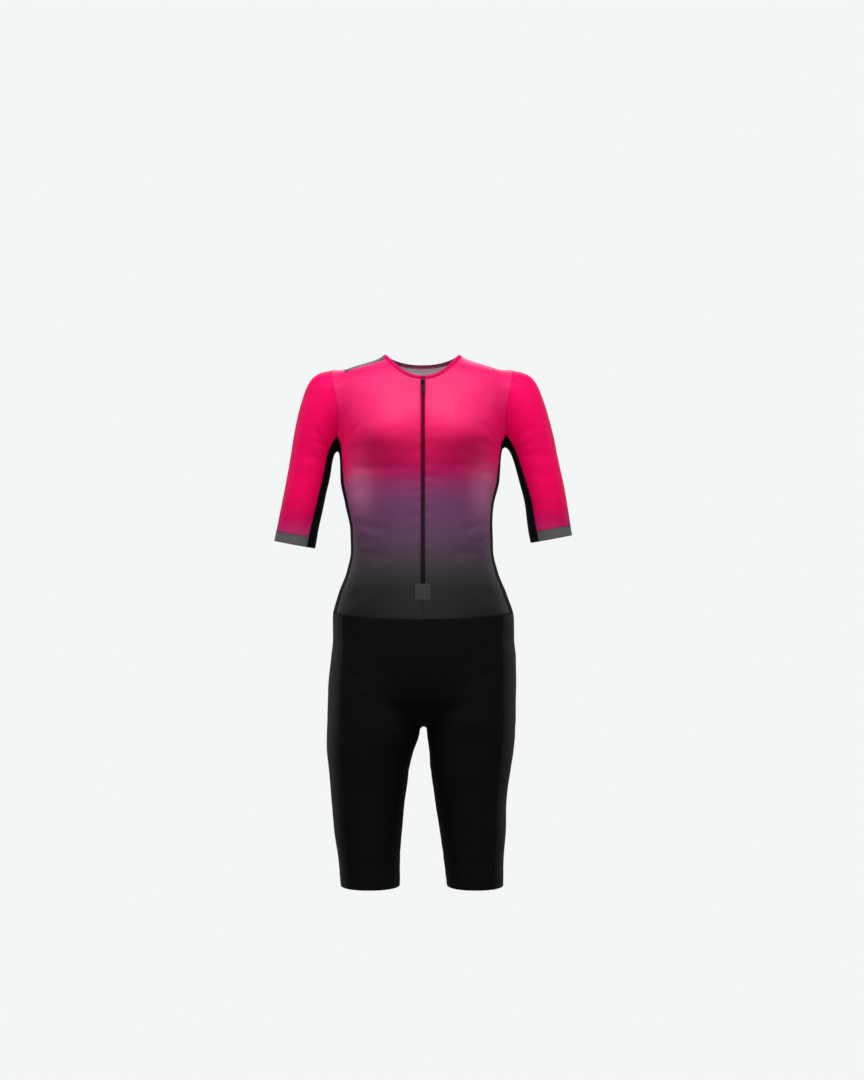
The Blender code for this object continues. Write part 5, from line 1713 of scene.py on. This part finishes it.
# ---- Operators ------------------------------------------------------------------------------------------
class SUIT_OT_seams(bpy.types.Operator):
    """Lays the seams and creases that every cloth piece is cut and folded by"""

    bl_idname = "suit.seams"
    bl_label = "Seams"

    def execute(self, context):
        edge_curve = neck_ring()
        SEAMS["edge"] = neck_seams(edge_curve)
        SEAMS["neck"] = neck_seams(below(edge_curve, NECK_BAND))
        SEAMS["waist"] = {side: waist_seams(side) for side in (1, -1)}
        SEAMS["armholes"] = {side: armhole_seams(side) for side in (1, -1)}
        CREASE_LINES.extend(crease_lines())
        return {"FINISHED"}


def need_seams():
    if not SEAMS:
        raise RuntimeError("the seams come before the cloth")


class SUIT_OT_bodice(bpy.types.Operator):
    """Fronts, back and side pieces, from the neck to the waist"""

    bl_idname = "suit.bodice"
    bl_label = "Bodice"

    def execute(self, context):
        need_seams()
        waist, armholes, neck = SEAMS["waist"], SEAMS["armholes"], SEAMS["neck"]
        torso = ("torso_knit", "pale_reverse")
        black = ("side_knit", "dark_reverse")
        shoulders = {}
        back_edges = {}
        SEAMS["zip"] = {}
        for side, word in SIDES:
            arm = armholes[side]
            front_waist = joined(waist[side]["front"], waist[side]["front_step"])
            neck_point = neck[side][-1]
            tip = arm["front"][-1]
            shoulders[side] = seam([p / MM for p in (neck_point, (neck_point + tip) / 2, tip)], FRONT_CELLS)
            zip_run, below_zip = centre_front(side, neck[side][0], front_waist[0])
            SEAMS["zip"][side] = zip_run
            inner = joined(below_zip[::-1], zip_run[::-1], neck[side])
            side_front = side_run(side, -1, arm["front"][0], front_waist[-1])
            outer = joined(side_front[::-1], arm["front"])
            front = panel_grid(front_waist, shoulders[side], inner, outer)
            add_cloth("front_" + word, front, "printed_jersey", torso)
            side_back = side_run(side, 1, arm["back"][-1], waist[side]["side"][-1])
            runs = (waist[side]["side"], arm["under"], side_front[::-1], side_back[::-1])
            side_piece = turned_grid(*runs, axis_of(TRUNK_AT), FACING[side])
            add_cloth("side_" + word, side_piece, "black_jersey", black)
            back_edges[side] = joined(side_back[::-1], arm["back"][::-1])
        low = joined(
            waist[-1]["back_step"], waist[-1]["back"], waist[1]["back"][::-1], waist[1]["back_step"][::-1]
        )
        high = joined(shoulders[-1][::-1], neck["back"][::-1], shoulders[1])
        back = panel_grid(low, high, back_edges[-1], back_edges[1])
        add_cloth("back", back, "printed_jersey", torso)
        return {"FINISHED"}


class SUIT_OT_sleeves(bpy.types.Operator):
    """Upper sleeves, their gripper bands and the black underarm pieces"""

    bl_idname = "suit.sleeves"
    bl_label = "Sleeves"

    def execute(self, context):
        need_seams()
        cloth = context.scene.suit_cloth
        sleeve = ("sleeve_knit", "pale_reverse")
        black = ("side_knit", "dark_reverse")
        band = ("gripper", "dark_reverse")
        for side, word in SIDES:
            arm = SEAMS["armholes"][side]
            seams = sleeve_seams(side, arm)
            head = joined(arm["front"], arm["back"])
            upper = panel_grid(seams["cuff"], head, seams["front"][::-1], seams["back"][::-1])
            add_cloth("sleeve_" + word, upper, "printed_jersey", sleeve)
            ends = (seams["front_cuff"][::-1], seams["back_cuff"][::-1])
            cuff = panel_grid(seams["hem_out"], seams["cuff"], *ends)
            add_cloth("cuff_" + word, cuff, "grey_gripper", band, free=("low",), wall=cloth.cuff_wall)
            under_front = joined(seams["front"], seams["front_cuff"])[::-1]
            under_back = joined(seams["back"], seams["back_cuff"])[::-1]
            runs = (seams["hem_in"], arm["under"], under_front, under_back)
            under = turned_grid(*runs, axis_of(ARM_AT[side], side), FACING[-side])
            add_cloth("undersleeve_" + word, under, "black_jersey", black, free=("low",), band="low")
        return {"FINISHED"}


class SUIT_OT_neckband(bpy.types.Operator):
    """The folded binding round the neck, open at the zip"""

    bl_idname = "suit.neckband"
    bl_label = "Neck Binding"

    def execute(self, context):
        need_seams()
        cloth = context.scene.suit_cloth
        neck, edge = SEAMS["neck"], SEAMS["edge"]
        for part, node, slot, material in (
            (1, "neckband_left", "printed_jersey", "bound_print"),
            (-1, "neckband_right", "printed_jersey", "bound_print"),
            ("back", "neckband_back", "dark_binding", "binding"),
        ):
            ends = [spaced(np.array([neck[part][k], edge[part][k]]), BAND_CELLS) for k in (0, -1)]
            band = panel_grid(neck[part], edge[part], *ends)
            sizes = {"wall": cloth.binding_wall, "crown": cloth.crown}
            add_cloth(node, band, slot, (material, material), free=("high",), **sizes)
        return {"FINISHED"}


class SUIT_OT_shorts(bpy.types.Operator):
    """Front, back and side pieces of both legs, from the waist to the hems"""

    bl_idname = "suit.shorts"
    bl_label = "Shorts"

    def execute(self, context):
        need_seams()
        matt = ("shorts_knit", "dark_reverse")
        smooth = ("thigh_knit", "dark_reverse")
        hem = {"free": ("high",), "band": "high"}
        for side, word in SIDES:
            waist = SEAMS["waist"][side]
            rise_front = rise_run(RISE_FRONT, waist["front"][0])
            rise_back = rise_run(RISE_BACK, waist["back"][-1])
            inseam = inseam_run(side, rise_front[-1])
            thigh_front = thigh_run(side, -1, waist["front"][-1])
            thigh_back = thigh_run(side, 1, waist["back"][0])
            side_waist = joined(waist["front_step"], waist["side"], waist["back_step"])
            inner, front_end, back_end = inseam[-1], thigh_front[-1], thigh_back[-1]
            hem_front = hem_run(side, inner, front_end, HEM_FRONT, len(waist["front"]) - 1)
            hem_side = hem_run(side, front_end, back_end, HEM_SIDE, len(side_waist) - 1)
            hem_back = hem_run(side, back_end, inner, HEM_BACK, len(waist["back"]) - 1)
            axis = axis_of(LEG_AT[side], side)
            runs = (waist["front"], hem_front, joined(rise_front, inseam), thigh_front)
            front = turned_grid(*runs, axis, FACING["front"], CROTCH_ROW)
            add_cloth("shorts_front_" + word, front, "shorts_jersey", matt, **hem)
            side_piece = panel_grid(side_waist, hem_side, thigh_front, thigh_back)
            add_cloth("shorts_side_" + word, side_piece, "thigh_jersey", smooth, **hem)
            runs = (waist["back"], hem_back, thigh_back, joined(rise_back, inseam))
            back = turned_grid(*runs, axis, FACING["back"], CROTCH_ROW)
            add_cloth("shorts_back_" + word, back, "shorts_jersey", matt, **hem)
        return {"FINISHED"}


class SUIT_OT_zip(bpy.types.Operator):
    """The zip's tape and coil teeth, and a better finish for its slider and pull"""

    bl_idname = "suit.zip"
    bl_label = "Zip"

    def execute(self, context):
        if "zip" not in SEAMS:
            raise RuntimeError("the bodice comes before its zip")
        zips = context.scene.suit_zip
        add_tape(SEAMS["zip"], SEAMS["edge"])
        tape = PIECES["zip_strip"]
        lift = (TAPE_DEPTH - TEETH_DEPTH) * MM - zips.tooth_width / 2
        middle = tape["face"][1:, TAPE_CELLS // 2] + tape["normals"][1:, TAPE_CELLS // 2] * lift
        sizes = {
            "Pitch": zips.pitch / 2,
            "Length": zips.tooth,
            "Thickness": zips.tooth_width,
            "Slant": COIL_SLANT,
            "Spread": COIL_SPREAD * MM,
        }
        lines = [(middle, tape["normals"][1:, TAPE_CELLS // 2])]
        coil = sewn_row("coil", lines, sizes, fabric("zip_teeth"))
        teeth = one_mesh("zip_teeth", [coil], fabric("zip_teeth"))
        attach(teeth, "suit")
        for name in ("zip_slider", "zip_pull"):
            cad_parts[name].data.materials[0] = fabric("lacquer")
        return {"FINISHED"}


class SUIT_OT_patch(bpy.types.Operator):
    """The plain patch that covers the zip's lower end"""

    bl_idname = "suit.patch"
    bl_label = "Patch"

    def execute(self, context):
        add_patch_piece()
        return {"FINISHED"}


class SUIT_OT_stitches(bpy.types.Operator):
    """Needle rows beside every seam, threads across the seams, and twin rows along hems and binding"""

    bl_idname = "suit.stitches"
    bl_label = "Stitches"

    def execute(self, context):
        given = context.scene.suit_stitches
        rise = THREAD_RISE * given.thread
        needle = {"Pitch": given.pitch, "Length": given.stitch, "Thickness": given.thread}
        cover = {
            "Pitch": given.cover_pitch,
            "Length": given.cover,
            "Thickness": given.thread,
            "Slant": given.slant,
        }
        insets = {
            "inset": given.inset,
            "hem": HEM_BAND * MM,
            "hem_twin": (HEM_BAND - HEM_TWIN) * MM,
            "band": BAND_INSET * MM,
            "border": context.scene.suit_zip.border,
        }
        for name, (thread, rows, covers) in THREADS.items():
            beside = one_by_one(rows)
            lines = [edge_line(node, edge, insets[kind], rise) for node, edge, kind in beside]
            made = [sewn_row(name + "_needle", lines, needle, fabric(thread))]
            if covers:
                lift = context.scene.suit_cloth.groove_depth
                lines = [edge_line(node, edge, 0.0, lift, part) for node, edge, part in one_by_one(covers)]
                made.append(sewn_row(name + "_cover", lines, cover, fabric(thread)))
            threads = one_mesh(name, made, fabric(thread))
            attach(threads, "suit")
        return {"FINISHED"}


class SUIT_OT_stage(bpy.types.Operator):
    """A plain pale floor, soft lights and the camera"""

    bl_idname = "suit.stage"
    bl_label = "Stage"

    def execute(self, context):
        stage = context.scene.suit_stage
        pale = (*linear([255 * channel for channel in stage.backdrop]), 1.0)
        self.lay_floor(pale, stage.fill)
        self.light_all_round(context, pale, stage.fill)
        for name, power_of, place, aim, size in LIGHTS:
            self.softbox(name, getattr(stage, power_of), place, aim, size)
        camera = shown("camera", bpy.data.cameras.new("camera"))
        camera.data.lens = CAMERA["lens"]
        camera.data.sensor_width = CAMERA["sensor"]
        camera.data.sensor_fit = "AUTO"
        camera.location = CAMERA["place"]
        camera.rotation_euler = CAMERA["turn"]
        context.scene.camera = camera
        context.scene.view_settings.view_transform = "Standard"
        return {"FINISHED"}

    def lay_floor(self, pale, fill):
        """A round floor that the camera sees as the pale ground, and that lights the suit dimly."""
        mesh = bpy.data.meshes.new("floor")
        turns = [2 * math.pi * step / FLOOR["sides"] for step in range(FLOOR["sides"])]
        rim = [(FLOOR["radius"] * math.cos(t), FLOOR["radius"] * math.sin(t), FLOOR["height"]) for t in turns]
        mesh.from_pydata(rim, [], [list(range(len(rim)))])
        made, tree, shader = shader_of("floor")
        glow = {"Emission Color": pale, "Emission Strength": fill * FLOOR["glow"]}
        set_inputs(shader, {"Base Color": (0.0, 0.0, 0.0, 1.0), "Specular IOR Level": 0.0, **glow})
        seen = new_node(tree, "ShaderNodeEmission", {"Color": pale}).outputs["Emission"]
        self.shown_to_camera(tree, shader.outputs["BSDF"], seen, "Material Output")
        mesh.materials.append(made)
        shown("floor", mesh)

    def light_all_round(self, context, pale, fill):
        """The camera sees the pale ground, and the suit is lit by a dimmer one."""
        world = bpy.data.worlds.new("studio")
        world.use_nodes = True
        tree = world.node_tree
        dim = tree.nodes["Background"]
        set_inputs(dim, {"Color": (1.0, 1.0, 1.0, 1.0), "Strength": fill})
        seen = new_node(tree, "ShaderNodeBackground", {"Color": pale}).outputs["Background"]
        self.shown_to_camera(tree, dim.outputs["Background"], seen, "World Output")
        context.scene.world = world

    def shown_to_camera(self, tree, other_rays, camera_rays, output):
        """Gives the camera's rays another shader than all the others."""
        is_camera = new_node(tree, "ShaderNodeLightPath").outputs["Is Camera Ray"]
        mix = new_node(tree, "ShaderNodeMixShader", {"Fac": is_camera, 1: other_rays, 2: camera_rays})
        tree.links.new(mix.outputs["Shader"], tree.nodes[output].inputs["Surface"])

    def softbox(self, name, power, place, aim, size):
        light = bpy.data.lights.new(name, "AREA")
        light.shape = "RECTANGLE"
        light.size, light.size_y = size
        light.energy = power
        lamp = shown(name, light)
        lamp.location = place
        lamp.rotation_euler = (Vector(aim) - Vector(place)).to_track_quat("-Z", "Y").to_euler()


class SUIT_PT_panel(bpy.types.Panel):
    """Everything that dresses the suit, in the order it is made"""

    bl_idname = "SUIT_PT_panel"
    bl_label = "Triathlon Suit"
    bl_space_type = "VIEW_3D"
    bl_region_type = "UI"
    bl_category = "Suit"

    def draw(self, context):
        for operator in OPERATORS:
            self.layout.operator(operator.bl_idname)
        for name, group in GROUPS:
            box = self.layout.box()
            box.label(text=group.__name__.removeprefix("Suit"))
            for key in group.__annotations__:
                box.prop(getattr(context.scene, name), key)


OPERATORS = (
    SUIT_OT_seams,
    SUIT_OT_bodice,
    SUIT_OT_sleeves,
    SUIT_OT_neckband,
    SUIT_OT_shorts,
    SUIT_OT_zip,
    SUIT_OT_patch,
    SUIT_OT_stitches,
    SUIT_OT_stage,
)
GROUPS = (
    ("suit_cloth", SuitCloth),
    ("suit_colours", SuitColours),
    ("suit_stitches", SuitStitches),
    ("suit_zip", SuitZip),
    ("suit_stage", SuitStage),
)


def register():
    for name, group in GROUPS:
        bpy.utils.register_class(group)
        setattr(bpy.types.Scene, name, PointerProperty(type=group))
    for operator in (*OPERATORS, SUIT_PT_panel):
        bpy.utils.register_class(operator)


def unregister():
    for operator in (SUIT_PT_panel, *reversed(OPERATORS)):
        bpy.utils.unregister_class(operator)
    for name, group in reversed(GROUPS):
        delattr(bpy.types.Scene, name)
        bpy.utils.unregister_class(group)


def main():
    register()
    bpy.ops.suit.seams()
    bpy.ops.suit.bodice()
    bpy.ops.suit.sleeves()
    bpy.ops.suit.neckband()
    bpy.ops.suit.shorts()
    bpy.ops.suit.zip()
    bpy.ops.suit.patch()
    bpy.ops.suit.stitches()
    bpy.ops.suit.stage()


if __name__ == "__main__":
    main()
